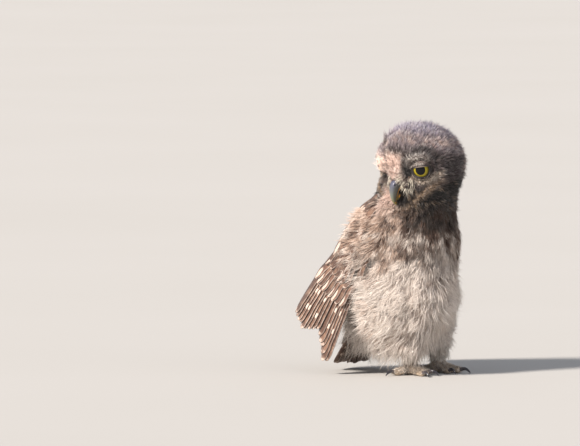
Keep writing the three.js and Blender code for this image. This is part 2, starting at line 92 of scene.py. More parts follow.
yaw, nod, roll = (math.radians(a) for a in (-90 - HEAD_TURN, HEAD_NOD, HEAD_ROLL))
head_forward = np.array([math.cos(yaw), math.sin(yaw), 0]) * math.cos(nod)
head_forward[2] = -math.sin(nod)
level_right = unit(np.cross(head_forward, [0, 0, 1]))
head_right = level_right * math.cos(roll) - np.cross(head_forward, level_right) * math.sin(roll)
HEAD = np.array([head_right, head_forward, np.cross(head_right, head_forward)])


def in_head(places):
    """The x, y and z of places in the head's own axes."""
    return ((places - HEAD_MIDDLE) @ HEAD.T / MM).T


def from_head(*place):
    return HEAD_MIDDLE + np.array(place) * MM @ HEAD


def eye_middle(side):
    return from_head(side * EYE_APART / 2, EYE_FORWARD, EYE_UP)


def eye_axes(side):
    """Unit ways towards the temple, up, and out along the gaze."""
    out, up = math.radians(GAZE_OUT), math.radians(GAZE_UP)
    level = math.cos(up)
    look = np.array([side * math.sin(out) * level, math.cos(out) * level, math.sin(up)]) @ HEAD
    temple = unit(HEAD[0] * side - look * np.dot(HEAD[0] * side, look))
    return np.array([temple, np.cross(look, temple) * -side, look])


def off_eye(side, places):
    """Millimetres to the temple, up and out from one eye."""
    return ((places - eye_middle(side)) @ eye_axes(side).T / MM).T


# The wings and tail lie on bent sheets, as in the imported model: s runs along the feathers, q
# across them and h out from the sheet
def sheet(start, end, across, bow, curl, hand=1):
    along = np.array(end, float) - start
    length = np.linalg.norm(along)
    along /= length
    side = unit(np.array(across) - along * np.dot(across, along))
    return {
        "start": np.array(start, float), "along": along, "side": side,
        "out": np.cross(along, side) * hand, "length": length, "bow": bow, "curl": curl,
    }


def on_sheet(made, s, q, h):
    bend = made["bow"] * np.sin(np.pi * s / made["length"]) - q * q / (2 * made["curl"])
    place = made["start"] + np.multiply.outer(s, made["along"])
    place = place + np.multiply.outer(q, made["side"])
    return SHIFT + MM * (place + np.multiply.outer(h + bend, made["out"]))


WING = {
    "right": sheet((-38, 9, 128), (-58, 66, 26), (-0.12, -0.96, -0.22), 4, 80),
    "left": sheet((30, 9, 128), (35, 64, 19), (0.12, -0.96, -0.22), 11, 70, hand=-1),
}
TAIL = sheet((-7, 47, 44), (-9, 75, 4.5), (-1, 0, 0), 1.5, 45)
WING_PAD = {"at": 30, "middle": 2, "long": 38, "half": 20, "high": 5.4, "sink": -1.2}
RUMP_PAD = {"at": 14, "middle": 0, "long": 21, "half": 14, "high": 6, "sink": 0}


def pick(*pieces):
    """Nothing selected but these pieces, with the first one active."""
    bpy.ops.object.select_all(action="DESELECT")
    for piece in pieces:
        piece.select_set(True)
    bpy.context.view_layer.objects.active = pieces[0]


def edited(piece, *steps):
    """A piece with each step run in edit mode on the whole of it."""
    pick(piece)
    bpy.ops.object.mode_set(mode="EDIT")
    bpy.ops.mesh.select_all(action="SELECT")
    for step in steps:
        step()
    bpy.ops.object.mode_set(mode="OBJECT")
    return piece


def new_piece(name, mesh):
    piece = bpy.data.objects.new(name, mesh)
    bpy.context.scene.collection.objects.link(piece)
    return piece


def copy_of_node(node):
    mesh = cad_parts[node].data.copy()
    mesh.materials.clear()
    return new_piece(f"copy_{node}", mesh)


def joined(name, pieces):
    pick(*pieces)
    bpy.ops.object.join()
    whole = pieces[0]
    whole.name = whole.data.name = name
    return edited(whole, partial(bpy.ops.mesh.remove_doubles, threshold=0.01 * MM))


def move_points(piece, places):
    piece.data.vertices.foreach_set("co", places.astype(np.float32).ravel())
    piece.data.update()


def shade_smooth(piece):
    faces = piece.data.polygons
    faces.foreach_set("use_smooth", np.ones(len(faces), bool))


def apply_all(piece):
    pick(piece)
    for modifier in list(piece.modifiers):
        bpy.ops.object.modifier_apply(modifier=modifier.name)


def remeshed(piece, voxel, smoothing):
    pick(piece)
    piece.data.remesh_voxel_size = voxel
    bpy.ops.object.voxel_remesh()
    modifier = piece.modifiers.new("soften", "SMOOTH")
    modifier.factor = 0.5
    modifier.iterations = smoothing
    apply_all(piece)


def ball(name, reach):
    """A ball of triangles whose points go to reach(directions)."""
    bpy.ops.object.select_all(action="DESELECT")
    bpy.ops.mesh.primitive_ico_sphere_add(subdivisions=4, radius=1)
    piece = bpy.context.object
    piece.name = piece.data.name = name
    move_points(piece, reach(unit(points_of(piece))))
    return piece


def pad(name, made, size):
    return ball(name, lambda way: on_sheet(
        made, size["at"] + way[:, 0] * size["long"], size["middle"] + way[:, 1] * size["half"],
        size["sink"] + way[:, 2] * size["high"]))


skin = joined("skin", [
    *(copy_of_node(node) for node in FLESH),
    *(ball(f"eye_filler_{name}", lambda way, side=side: eye_middle(side) + way * EYE_FILLER * MM)
      for name, side in EYE_SIDES.items()),
    ball("bill_filler", lambda way: from_head(0, 22, -7.5) + way * BILL_FILLER * MM),
    *(pad(f"arm_{name}", made, WING_PAD) for name, made in WING.items()),
    pad("tail_root", TAIL, RUMP_PAD),
])
move_points(skin, points_of(skin) + normals_of(skin) * CUT_CLOSER)
remeshed(skin, SKIN_VOXEL, smoothing=14)

# How deep the down is over the body and then over each part of it, in millimetres
BODY_DEPTH, BARE_DEPTH = 4.2, 0.9
PART_DEPTH = {"low": 5.6, "head": 3.6, "face": 1.9, "leg": 1.8, "vaned": 1.0}
UNDER_LID, LID_SEAT = 9.2, 7.9


def lerp(a, b, share):
    return a + (b - a) * share


def smoothstep(x, low, high):
    t = np.clip((x - low) / (high - low), 0, 1)
    return t * t * (3 - 2 * t)


def by_eye(places):
    """Millimetres to the temple, up and out from the nearer eye, and from the gaze line."""
    right, left = (off_eye(side, places) for side in EYE_SIDES.values())
    nearer = np.linalg.norm(left, axis=0) < np.linalg.norm(right, axis=0)
    temple, up, out = np.where(nearer, left, right)
    return np.stack([temple, up, out, np.hypot(temple, up)])


def off_wing(made, places):
    """The s and q of places over a wing's sheet, and how much each is on its arm."""
    from_start = in_owl(places).T - made["start"]
    s, q, h = (from_start @ made[way] for way in ("along", "side", "out"))
    near = 1 - smoothstep(np.hypot((s - 30) / 40, (q - 2) / 22), 0.85, 1.1)
    return s, q, near * smoothstep(h, -3, 1)


def part_shares(places):
    """How much each place belongs to the head, face, legs and the vaned part of the wings."""
    z = in_owl(places)[2]
    ahead, high = in_head(places)[1:]
    head = smoothstep(z, 122, 134)
    vaned = np.zeros(len(places))
    for made in WING.values():
        s, q, near = off_wing(made, places)
        behind = 1 - smoothstep(q - 0.26 * (s - 17), 1, 6)
        vaned = np.maximum(vaned, near * behind * smoothstep(s, 4, 20))
    return {
        "head": head,
        "face": head * smoothstep(ahead, 4, 15) * smoothstep(high, -26, -18),
        "leg": smoothstep(-z, -30, -18),
        "low": smoothstep(-z, -90, -70),
        "vaned": vaned,
    }


def coat_depth(places):
    share = part_shares(places)
    depth = BODY_DEPTH
    for part, deep in PART_DEPTH.items():
        depth = lerp(depth, deep, share[part])
    out, away = by_eye(places)[2:]
    near_eye = smoothstep(-away, -13, -9) * smoothstep(out, 0, 4)
    off_bill = np.linalg.norm(places - from_head(0, 27, -5), axis=1) / MM
    return lerp(depth, BARE_DEPTH, np.maximum(near_eye, smoothstep(-off_bill, -12, -7)))


skin_points = points_of(skin)
skin_points -= normals_of(skin) * coat_depth(skin_points)[:, None] * MM
for side in EYE_SIDES.values():
    temple, up, out = off_eye(side, skin_points)
    from_eye = skin_points - eye_middle(side)
    reach = np.linalg.norm(from_eye, axis=1)
    under_lid = (out > 0) & (np.hypot(temple, up) < UNDER_LID)
    shrink = np.where(under_lid, np.minimum(1, LID_SEAT * MM / np.maximum(reach, 1e-9)), 1)
    skin_points = eye_middle(side) + from_eye * shrink[:, None]
move_points(skin, skin_points)
shade_smooth(skin)


# Markings of the down, the same on the skin and on the tufts over it: lilac-grey crown, white
# brows and bristles, black lid rims, dark collar, streaked breast and whitish belly. With them
# go painted light, paler on the right side of the head, neck and breast, and painted shade on
# the throat below the chin on the left and on the belly between the legs.
def srgb(*levels):
    share = np.array(levels) / 255
    return np.where(share < 0.04045, share / 12.92, ((share + 0.055) / 1.055) ** 2.4)


CROWN = srgb(146, 132, 137)
CROWN_LILAC = srgb(166, 159, 178)
CROWN_BUFF = srgb(212, 186, 174)
SPECK = srgb(44, 34, 32)
FOREHEAD = srgb(238, 210, 196)
CHEEK = srgb(60, 47, 41)
CHEEK_PALE = srgb(190, 176, 160)
BROW = srgb(214, 206, 198)
EYE_RIM = srgb(20, 16, 17)
THROAT = srgb(26, 20, 17)
THROAT_TAN = srgb(190, 160, 128)
COLLAR = srgb(232, 204, 186)
BREAST = srgb(116, 93, 78)
BREAST_BUFF = srgb(226, 196, 174)
BREAST_STREAK = srgb(74, 48, 34)
BELLY = srgb(252, 242, 232)
BELLY_SHADE = srgb(196, 162, 140)
BELLY_WARM = srgb(206, 164, 130)
MANTLE = srgb(118, 92, 74)
MANTLE_SPOT = srgb(226, 204, 178)
LEG_DOWN = srgb(252, 245, 234)
INNER_CORNER = (-9.6, -3.4)  # of each eye, where bare black skin shows


def mottle(places, size, seed=0):
    """Soft patches of that size in metres, from -1 to 1."""
    return np.array([noise.noise(Vector(p) / size + Vector((seed, 0, 0))) for p in places])


def painted(base, *coats):
    """A base colour with each coat's colour laid over it by the coat's share at each place."""
    for colour, share in coats:
        base = base + (colour - base) * share[:, None]
    return base


def around(value, middle, half):
    """1 at the middle value and 0 well away from it."""
    return np.exp(-((value - middle) / half) ** 2)


def spot(x, y, middle, half):
    """1 in the middle of a soft oval and 0 well outside it."""
    return around(x, middle[0], half[0]) * around(y, middle[1], half[1])


def head_colour(places):
    right, ahead, high = in_head(places)
    temple, up = by_eye(places)[:2]
    fine = mottle(places, 3.2 * MM, seed=7)
    specks = mottle(places, 1.5 * MM, seed=9)
    # Painted light: the head's right side is painted paler, so its lilac crown reaches lower and
    # its dark cheek less far.
    height = high - 0.36 * (ahead - 13) + 6 * smoothstep(right, 4, 14)
    crown = smoothstep(height + 4 * fine, 23, 31)
    band = (1 - crown) * smoothstep(height, 16, 21)
    side = 1 - smoothstep(height + 2 * fine, 11, 19)
    nape, face = smoothstep(-ahead, 4, 14), smoothstep(ahead, 4, 14)
    low = smoothstep(-high, 6, 12)
    streak = spot(high - 0.75 * np.abs(right), ahead, (-27, 22), (2.2, 12))
    above_bill = 1 - smoothstep(-high, 5, 9) * smoothstep(-right, -3, 1)
    forehead = above_bill * smoothstep(-np.abs(right - 3), -14, -8) * smoothstep(ahead, 16, 22)
    below = around(np.hypot(temple * 0.8, up), 9.6, 2.0) * smoothstep(-up, 0, 3)
    arc = around(np.hypot(temple + 2, up + 0.5), 9.6, 1.6) * smoothstep(up - 0.8 * temple, -2, 3)
    over = around(np.hypot(temple, up), 13.2, 2.6) * smoothstep(up, 3, 8)
    groove = spot(temple, up, (-13.5, 1.5), (1.6, 5.5))
    fan = np.minimum(1, 1.5 * spot(temple, up, (-12, -10), (5.5, 6.5)))
    rim = 1 - smoothstep(np.hypot(temple, up * 1.05), 7.8, 8.8)
    patch = np.minimum(1, 1.6 * spot(temple, up, INNER_CORNER, (3.6, 3.6)))
    return painted(
        CROWN,
        (CROWN_LILAC, crown),
        (CROWN_BUFF, 0.3 * crown * smoothstep(fine, 0.1, 0.35)),
        (CROWN_BUFF, 0.75 * band * smoothstep(fine, -0.2, 0.3)),
        (CHEEK, 0.8 * side),
        (SPECK, 0.85 * smoothstep(specks, 0.0, 0.25) * (0.35 + 0.65 * side)),
        (CROWN_BUFF, 0.6 * nape * smoothstep(fine, 0.05, 0.3)),
        (THROAT, low),
        (THROAT_TAN, 0.4 * low * smoothstep(fine + specks, 0.3, 0.6)),
        (THROAT_TAN, 0.8 * face * streak),
        (FOREHEAD, forehead * smoothstep(-high, -17, -11)),
        (CHEEK_PALE, face * below),
        (BROW, 0.9 * face * arc),
        (SPECK, 0.85 * face * over * smoothstep(temple, -10, -4)),
        (SPECK, face * groove),
        (SPECK, 0.8 * face * fan),
        (EYE_RIM, face * np.maximum(rim, patch)),
    )


def down_colour(places):
    x, y, z = in_owl(places)
    share = part_shares(places)
    patches = mottle(places, 10 * MM)
    streaks = mottle(places * [1, 1, 0.45], 3.4 * MM, seed=7)
    between_legs = spot(x, z, (-20 + 3 * patches, 44), (5, 20)) * smoothstep(-y, -8, 4)
    # Painted light and shade: the owl's right side is painted paler, with a buff breast and a pale
    # neck, and painted shade darkens the throat below the chin away from it.
    lit_right_side = smoothstep(y - x + 5 * patches, 14, 32)
    shaded_under_chin = smoothstep(z + 6 * patches, 104, 120) * (1 - lit_right_side)
    flecks = smoothstep(-streaks - 0.3 * patches, 0.1, 0.4) * (1 - 0.7 * shaded_under_chin)
    back = smoothstep(y - 0.3 * (z - 60), 20, 34) * (1 - smoothstep(-z, -42, -30))
    collar = smoothstep(z, 108, 120) * (1 - share["head"]) * lit_right_side
    breast = painted(
        BREAST,
        # painted light: buff over the breast on the owl's right side
        (BREAST_BUFF, 0.85 * lit_right_side),
        (BREAST_BUFF, 0.6 * smoothstep(-streaks, 0.12, 0.4)),
        (BREAST_STREAK, 0.8 * smoothstep(streaks + 0.4 * patches, 0.12, 0.4)),
        (BELLY, 0.75 * flecks),
        # painted shade: the throat darkened below the chin
        (THROAT, 0.85 * shaded_under_chin * smoothstep(-streaks, -0.35, 0.1)),
    )
    return painted(
        BELLY,
        (BELLY_SHADE, 0.5 * smoothstep(patches, 0.05, 0.5)),
        (BELLY_SHADE, 0.8 * between_legs),
        (BELLY_WARM, 0.6 * spot(x, z, (-40, 34), (12, 12))),
        (breast, smoothstep(z + 16 * patches + 10 * streaks, 74, 108)),
        (painted(MANTLE, (MANTLE_SPOT, smoothstep(streaks, 0.15, 0.35))), back),
        (LEG_DOWN, share["leg"]),
        # painted light: the pale neck on the owl's right side only
        (COLLAR, 0.7 * collar * smoothstep(-streaks, -0.2, 0.3)),
        (head_colour(places), share["head"]),
    )


# Shader nodes are written as sums: a Value wraps one output, and each operator on it adds a
# Math node. A Finish is one material, whose other nodes all come from its node method.
class Value:
    def __init__(self, finish, output):
        self.finish, self.output = finish, output

    def math(self, operation, *others, swapped=False):
        terms = [self, *others]
        if swapped:
            terms.reverse()
        return self.finish.node("Math", {"operation": operation}, dict(enumerate(terms)))

    def __add__(self, other):
        return self.math("ADD", other)

    def __sub__(self, other):
        return self.math("SUBTRACT", other)

    def __rsub__(self, other):
        return self.math("SUBTRACT", other, swapped=True)

    def __mul__(self, other):
        return self.math("MULTIPLY", other)

    def __pow__(self, other):
        return self.math("POWER", other)

    def __abs__(self):
        return self.math("ABSOLUTE")

    def __lt__(self, other):
        return self.math("LESS_THAN", other)

    def __gt__(self, other):
        return self.math("GREATER_THAN", other)

    __radd__ = __add__
    __rmul__ = __mul__

    def most(self, other):
        return self.math("MAXIMUM", other)

    def step(self, low, high):
        """0 below low and 1 above high, and smooth between them."""
        settings = {"interpolation_type": "SMOOTHSTEP"}
        return self.finish.node("MapRange", settings, {"Value": self, 1: low, 2: high})


class Finish:
    def __init__(self, name, **constants):
        self.material = bpy.data.materials.new(name)
        self.material.use_nodes = True
        self.tree = self.material.node_tree
        self.shade(**constants)

    def shade(self, **values):
        shader = self.tree.nodes["Principled BSDF"]
        for socket, value in values.items():
            self.put(shader.inputs[socket.replace("_", " ")], value)

    def put(self, socket, value):
        if isinstance(value, Value):
            self.tree.links.new(value.output, socket)
        elif socket.type == "RGBA" and len(value) == 3:
            socket.default_value = (*value, 1)
        else:
            socket.default_value = value

    def node(self, kind, settings=None, values=None, output=0):
        made = self.tree.nodes.new("ShaderNode" + kind)
        for name, value in (settings or {}).items():
            setattr(made, name, value)
        for socket, value in (values or {}).items():
            self.put(made.inputs[socket], value)
        return Value(self, made.outputs[output])

    def stored(self, name, output="Fac"):
        return self.node("Attribute", {"attribute_name": name}, output=output)

    def place(self):
        return self.node("TexCoord", output="Object")

    def grain(self, size, detail=2):
        values = {"Vector": self.place(), "Scale": 1 / size, "Detail": detail}
        return self.node("TexNoise", {}, values)

    def mix(self, share, first, second, blend="MIX"):
        settings = {"data_type": "RGBA", "blend_type": blend}
        return self.node("Mix", settings, {0: share, 6: first, 7: second}, output=2)

    def painted(self, base, *coats):
        for colour, share in coats:
            base = self.mix(share, base, colour)
        return base

    def bump(self, height, distance, strength=1.0):
        values = {"Height": height, "Distance": distance, "Strength": strength}
        return self.node("Bump", {}, values)

    def wear(self, piece):
        piece.data.materials.clear()
        piece.data.materials.append(self.material)


def store(piece, name, values, kind="FLOAT"):
    attribute = piece.data.attributes.new(name, kind, "POINT")
    field = "color" if kind == "FLOAT_COLOR" else "value"
    attribute.data.foreach_set(field, np.asarray(values, np.float32).ravel())


def store_colour(piece, colours):
    store(piece, "down", np.c_[colours, np.ones(len(colours))], "FLOAT_COLOR")


store_colour(skin, down_colour(skin_points))
skin_finish = Finish("skin_and_underdown", Roughness=0.9)
skin_base = skin_finish.stored("down", "Color")
skin_dark = skin_finish.mix(1.0, skin_base, srgb(120, 108, 104), "MULTIPLY")
skin_finish.shade(
    Base_Color=skin_finish.mix(
        skin_finish.grain(1.1 * MM, detail=4).step(0.35, 0.7), skin_dark, skin_base),
    Normal=skin_finish.bump(skin_finish.grain(0.9 * MM, detail=3), 0.5 * MM),
)
skin_finish.wear(skin)
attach(skin, "root")
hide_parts(*FLESH)

# The down: fine barbs in tufts, rooted in the skin and combed along the lie of the coat. Each
# piece covers one part of the body. A barb has three points at its root, three at its bend
# and its tip.
BARB_FACES = np.array(
    [[0, 2, 1]]
    + [face for j in range(3) for face in (
        [j, (j + 1) % 3, 3 + (j + 1) % 3], [j, 3 + (j + 1) % 3, 3 + j], [3 + j, 3 + (j + 1) % 3, 6],
    )]
)
BARB_ALONG = np.array([0, 0, 0, 0.5, 0.5, 0.5, 1.0])
BARB_POINTS = len(BARB_ALONG)
PATCH = 0.0014  # half of a tuft's patch on the bake's map
MOST_TRIANGLES = 180_000
OVER_FLOOR = 0.05 * MM
BRISTLE = srgb(240, 232, 214)

down_finish = Finish("down", Roughness=0.85, Sheen_Weight=0.12, Sheen_Roughness=0.5)
along = down_finish.stored("along")
tone = down_finish.stored("tone")
down_base = down_finish.stored("down", "Color")
root_tone = down_finish.mix(1.0, down_base, srgb(140, 112, 100), "MULTIPLY")
paleness = down_finish.node("RGBToBW", {}, {"Color": down_base}).step(0.01, 0.2)
frost = along.step(0.3, 1.0) * (0.08 + 0.5 * (1 - tone.step(0.05, 0.3)))
tip_tone = down_finish.mix(frost * (0.2 + 0.8 * paleness), down_base, srgb(250, 240, 232))
lengthwise = down_finish.mix(along.step(0.0, 0.5), root_tone, tip_tone)
down_finish.shade(
    Base_Color=down_finish.mix(tone * 0.42, lengthwise, srgb(132, 108, 98), "MULTIPLY"))


def surface_of(piece):
    """Points, normals and the corners of the triangles of a piece."""
    piece.data.calc_loop_triangles()
    corners = np.empty(len(piece.data.loop_triangles) * 3, np.int32)
    piece.data.loop_triangles.foreach_get("vertices", corners)
    return points_of(piece), normals_of(piece), corners.reshape(-1, 3)


def strewn(surface, wanted, spacing, rng):
    """Roots about spacing apart where wanted(places) is above a random draw."""
    places, normals, corners = surface
    corner = places[corners]
    cross = np.cross(corner[:, 1] - corner[:, 0], corner[:, 2] - corner[:, 0])
    area = np.linalg.norm(cross, axis=1) / 2
    count = int(3 * area.sum() / (spacing * MM) ** 2)
    chosen = rng.choice(len(area), count, p=area / area.sum())
    a, b = rng.random((2, count))
    flip = a + b > 1
    a, b = np.where(flip, 1 - a, a), np.where(flip, 1 - b, b)
    weights = np.c_[1 - a - b, a, b][:, :, None]
    roots = (corner[chosen] * weights).sum(1)
    ups = unit((normals[corners[chosen]] * weights).sum(1))
    kept = wanted(roots) > rng.random(count)
    roots, ups = roots[kept], ups[kept]
    cells = np.floor(roots / (spacing * MM)).astype(np.int64)
    keys = (cells[:, 0] * 73856093) ^ (cells[:, 1] * 19349663) ^ (cells[:, 2] * 83492791)
    first = np.sort(np.unique(keys, return_index=True)[1])
    return roots[first], ups[first]


def flattened(way, ups):
    """Each way laid in the skin's plane."""
    way = way - ups * (way * ups).sum(1)[:, None]
    return unit(way + 1e-6)


def flank_share(places):
    """How much each place is on the side where the loose down stands out under a wing."""
    x, y, z = in_owl(places)
    side = smoothstep(np.abs(x + 6), 22, 34)
    return side * smoothstep(y, -2, 10) * smoothstep(z, 24, 34) * (1 - smoothstep(z, 78, 94))


def lie_of_coat(places, ups):
    """The way the down is combed: from the bill and eyes over the head, then down the body."""
    x, y, z = in_owl(places)
    head = part_shares(places)["head"][:, None]
    over_head = unit(places - from_head(0, 24, -6))
    for side in EYE_SIDES.values():
        from_eye = places - eye_middle(side)
        near = np.exp(-(np.linalg.norm(from_eye, axis=1) / (15 * MM)) ** 4)
        over_head = over_head + unit(from_eye) * 1.6 * near[:, None]
    nape = smoothstep(-in_head(places)[1], 2, 16)[:, None]
    over_head = lerp(over_head, np.array([0, 0, -1.0]) - head_forward * 0.35, nape)
    ahead = smoothstep(-y, -14, 4) * smoothstep(-z, -95, -60)
    down_body = np.array([0, 0.45, -1.0]) + np.outer(ahead * (x + 8) / 26, [1.0, 0, 0])
    way = lerp(down_body, over_head, head)
    way = lerp(way, np.array([0, 1.9, -1.0]), 0.9 * flank_share(places)[:, None])
    for made in WING.values():
        near = off_wing(made, places)[2][:, None]
        way = lerp(way, made["along"] - 0.5 * made["side"], near * (1 - head))
    return flattened(way, ups)


def bake_spots(places, middle):
    """An unwrap round an upright line through middle: share of the turn, and height."""
    x, y, z = (places - middle).T
    turn = np.arctan2(y, x) / (2 * np.pi) + 0.5
    height = (z - z.min()) / (z.max() - z.min() + 1e-9)
    return np.c_[0.01 + 0.98 * turn, 0.01 + 0.98 * height]


def mesh_of_triangles(name, places, corners, spots):
    mesh = bpy.data.meshes.new(name)
    mesh.vertices.add(len(places))
    mesh.vertices.foreach_set("co", places.astype(np.float32).ravel())
    mesh.loops.add(corners.size)
    mesh.loops.foreach_set("vertex_index", corners.astype(np.int32).ravel())
    mesh.polygons.add(len(corners))
    mesh.polygons.foreach_set("loop_start", np.arange(0, corners.size, 3, dtype=np.int32))
    mesh.polygons.foreach_set("use_smooth", np.ones(len(corners), bool))
    layer = mesh.uv_layers.new(name="OFBake")
    layer.data.foreach_set("uv", spots[corners.ravel()].astype(np.float32).ravel())
    mesh.update(calc_edges=True)
    return mesh


def at(setting, place):
    return setting(place) if callable(setting) else setting


def tufts(name, slot, surface, middle, wanted, seed, spacing, long, lift, wide, barbs, fan=0.3,
          ruffle=0.35, sink=0.6, clump=0.0, colour=down_colour, lie=lie_of_coat):
    """Tufts where wanted, with barbs of that length and lift, in millimetres and degrees."""
    rng = np.random.default_rng(seed)
    roots, ups = strewn(surface, wanted, spacing, rng)
    count = len(roots)
    way = lie(roots, ups)
    swirl = (2 * ruffle * mottle(roots, 8 * MM, seed) + rng.normal(0, 0.16, count))[:, None]
    way = way * np.cos(swirl) + np.cross(ups, way) * np.sin(swirl)
    length = at(long, roots) * rng.uniform(0.75, 1.15, count) * MM
    angle = np.radians(at(lift, roots)) * rng.uniform(0.8, 1.15, count)
    base_colour = colour(roots)
    tones = np.clip(rng.normal(0.4, 0.3, count), 0, 1)

    each = partial(np.repeat, repeats=barbs, axis=0)
    total = count * barbs
    across = rng.uniform(-1, 1, total)
    high = rng.uniform(-1, 1, total)
    reach = (each(length) * rng.uniform(0.7, 1.1, total))[:, None]
    ups, way, angle = each(ups), each(way), each(angle)
    side = np.cross(ups, way)
    aside = side * (across * spacing * 0.35 * MM)[:, None]
    fanned = side * (across * fan)[:, None]
    start = each(roots) + aside - ups * sink * MM
    start = start + way * (rng.uniform(-0.4, 0.4, total) * spacing * MM)[:, None]
    rise = (np.sin(angle) * (1 + 0.3 * high))[:, None]
    ahead = way * np.cos(angle)[:, None] + fanned + ups * rise
    bend = start + reach * 0.5 * (ahead + ups * 0.12)
    tip = start + reach * (ahead - ups * 0.06 + side * rng.normal(0, 0.06, total)[:, None])
    tip = tip - (aside + fanned * reach) * clump
    thick = (wide * rng.uniform(0.7, 1.25, total) * MM)[:, None] / 2
    barb_points = np.stack([
        start + side * thick * 0.8, start - side * thick * 0.8, start + ups * thick * 0.9,
        bend + side * thick, bend - side * thick, bend + ups * thick * 0.8, tip,
    ], axis=1)
    barb_points[..., 2] = np.maximum(barb_points[..., 2], SHIFT[2] + OVER_FLOOR)
    barb_tones = np.clip(each(tones) + rng.normal(0, 0.15, total), 0, 1)
    spots = np.repeat(each(bake_spots(roots, middle))[:, None], BARB_POINTS, axis=1)
    spots[..., 0] += PATCH * across[:, None]
    spots[..., 1] += PATCH * (2 * BARB_ALONG - 1)
    x, y = (roots - middle).T[:2]
    order = np.argsort(np.arctan2(y, x))
    parts = math.ceil(total * len(BARB_FACES) / MOST_TRIANGLES)
    for part, chosen in enumerate(np.array_split(order, parts)):
        barb = (chosen[:, None] * barbs + np.arange(barbs)).ravel()
        firsts = BARB_POINTS * np.arange(len(barb))[:, None, None]
        corners = (BARB_FACES + firsts).reshape(-1, 3)
        piece = new_piece(f"{name}_{part + 1}", mesh_of_triangles(
            name, barb_points[barb].reshape(-1, 3), corners[:, ::-1], spots[barb].reshape(-1, 2)))
        store(piece, "along", np.tile(BARB_ALONG, len(barb)))
        store(piece, "tone", np.repeat(barb_tones[barb], BARB_POINTS))
        store_colour(piece, np.repeat(base_colour[barb // barbs], BARB_POINTS, axis=0))
        down_finish.wear(piece)
        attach(piece, "root")


def all_of(colour):
    return lambda places: np.tile(colour, (len(places), 1))


def on_face(places):
    out, away = by_eye(places)[2:]
    open_eye = (1 - smoothstep(away, 9.2, 10.2)) * smoothstep(out, 0, 3)
    bill = 1 - smoothstep(np.linalg.norm(in_head(places).T - [0, 29, -11], axis=1), 6.5, 8)
    return part_shares(places)["face"] * ((1 - open_eye) * (1 - bill))


def grows(kind, places):
    """How much of that kind of down grows at each place."""
    share = part_shares(places)
    y, z = in_owl(places)[1:]
    below_knee = smoothstep(-z, -24, -18)
    body = (1 - share["head"]) * (1 - 0.88 * share["vaned"]) * (1 - below_knee)
    back = smoothstep(y - 0.25 * (z - 60), 16, 22)
    above_waist = smoothstep(z, 84, 90)
    return {
        "crown": share["head"] * (1 - share["face"]),
        "breast": body * (1 - back) * above_waist,
        "belly": body * (1 - back) * (1 - above_waist),
        "flanks": body * (1 - smoothstep(z, 62, 90)) * (1 - 0.6 * back),
        "back": body * back,
        "legs": below_knee * smoothstep(z, 8.5, 9.5),
    }[kind]


def crown_long(places):
    right, high = in_head(places)[[0, 2]]
    return 6.0 + 2.8 * smoothstep(right, 6, 16) * smoothstep(high, 4, 12)


def standing_out(places):
    """How much of its length the loose down keeps: less on the left and where it's widest."""
    x = in_owl(places)[0]
    return 1 - 0.42 * smoothstep(x, -10, 5) - 0.44 * smoothstep(-x, 38, 50)


def over_wing(places):
    """How much each place is on the arm of the right wing."""
    return off_wing(WING["right"], places)[2]


def brow_share(places):
    """How much each place is on the ridge over an eye or on the forehead between them."""
    temple, up, away = by_eye(places)[[0, 1, 3]]
    right, ahead, high = in_head(places)
    over_eye = around(away, 12.5, 2.6) * smoothstep(up - 0.2 * temple, 4, 8)
    between = smoothstep(-np.abs(right), -13, -6) * smoothstep(high, -3, 3)
    return np.maximum(over_eye, between) * smoothstep(ahead, 10, 18)


def raised_brow(places):
    """How much each place is on the right brow, whose long down stands up over that eye."""
    temple, away = by_eye(places)[[0, 3]]
    right, high = in_head(places)[[0, 2]]
    inner = around(away, 11.5, 2.8) * smoothstep(-temple, 2, 6)
    low = 1 - smoothstep(high, 7, 12)
    return np.maximum(brow_share(places), inner) * smoothstep(right, -2, 3) * low


def over_face(by_the_eye, on_the_cheek, on_a_brow, raised):
    """A size for each place on the face, from its four kinds of down."""
    def size(places):
        usual = lerp(by_the_eye, on_the_cheek, smoothstep(by_eye(places)[3], 10, 18))
        return lerp(lerp(usual, on_a_brow, brow_share(places)), raised, raised_brow(places))

    return size


BRISTLE_ROOT = np.array([-7, -1.5, 4])  # to the temple, up and out from each eye


def on_lores(places):
    temple, up = by_eye(places)[:2]
    fan = np.minimum(1, 1.4 * spot(temple, up, (-11, -9), (5.5, 6.5)))
    corner = np.hypot(temple - INNER_CORNER[0], up - INNER_CORNER[1])
    return on_face(places) * smoothstep(fan, 0.3, 0.7) * smoothstep(corner, 2, 4)


def from_inner_corner(places, ups):
    """The way the bristles point: spreading from each eye's inner corner over the lores."""
    right, left = (places - eye_middle(side) - BRISTLE_ROOT * MM @ eye_axes(side)
                   for side in EYE_SIDES.values())
    nearer = np.linalg.norm(right, axis=1) < np.linalg.norm(left, axis=1)
    return flattened(np.where(nearer[:, None], right, left), ups)


def on_plume(places):
    """The inner and upper side of the right eye, where long strands hide it from the left."""
    temple, up, out = off_eye(1, places)
    away = np.hypot(temple, up)
    band = smoothstep(away, 9.6, 10.4) * smoothstep(-away, -16.5, -14)
    inner = smoothstep(0.45 * up - temple, 5, 8) * smoothstep(up, -9, -6)
    return band * inner * smoothstep(out, -2, 0)


def plume_long(places):
    up, out = off_eye(1, places)[1:]
    return np.clip(1.17 * (12.3 - out), 2.5, 11.5) * (1 - 0.45 * smoothstep(up, 6, 12))


def plume_colour(places):
    high = off_eye(1, places)[1] + 4 * mottle(places, 3 * MM, seed=8)
    return painted(FOREHEAD, (CROWN, smoothstep(high, 4, 9)))


def out_of_eye(places, ups):
    up, out = eye_axes(1)[1:]
    return flattened(out + 0.25 * up, ups)


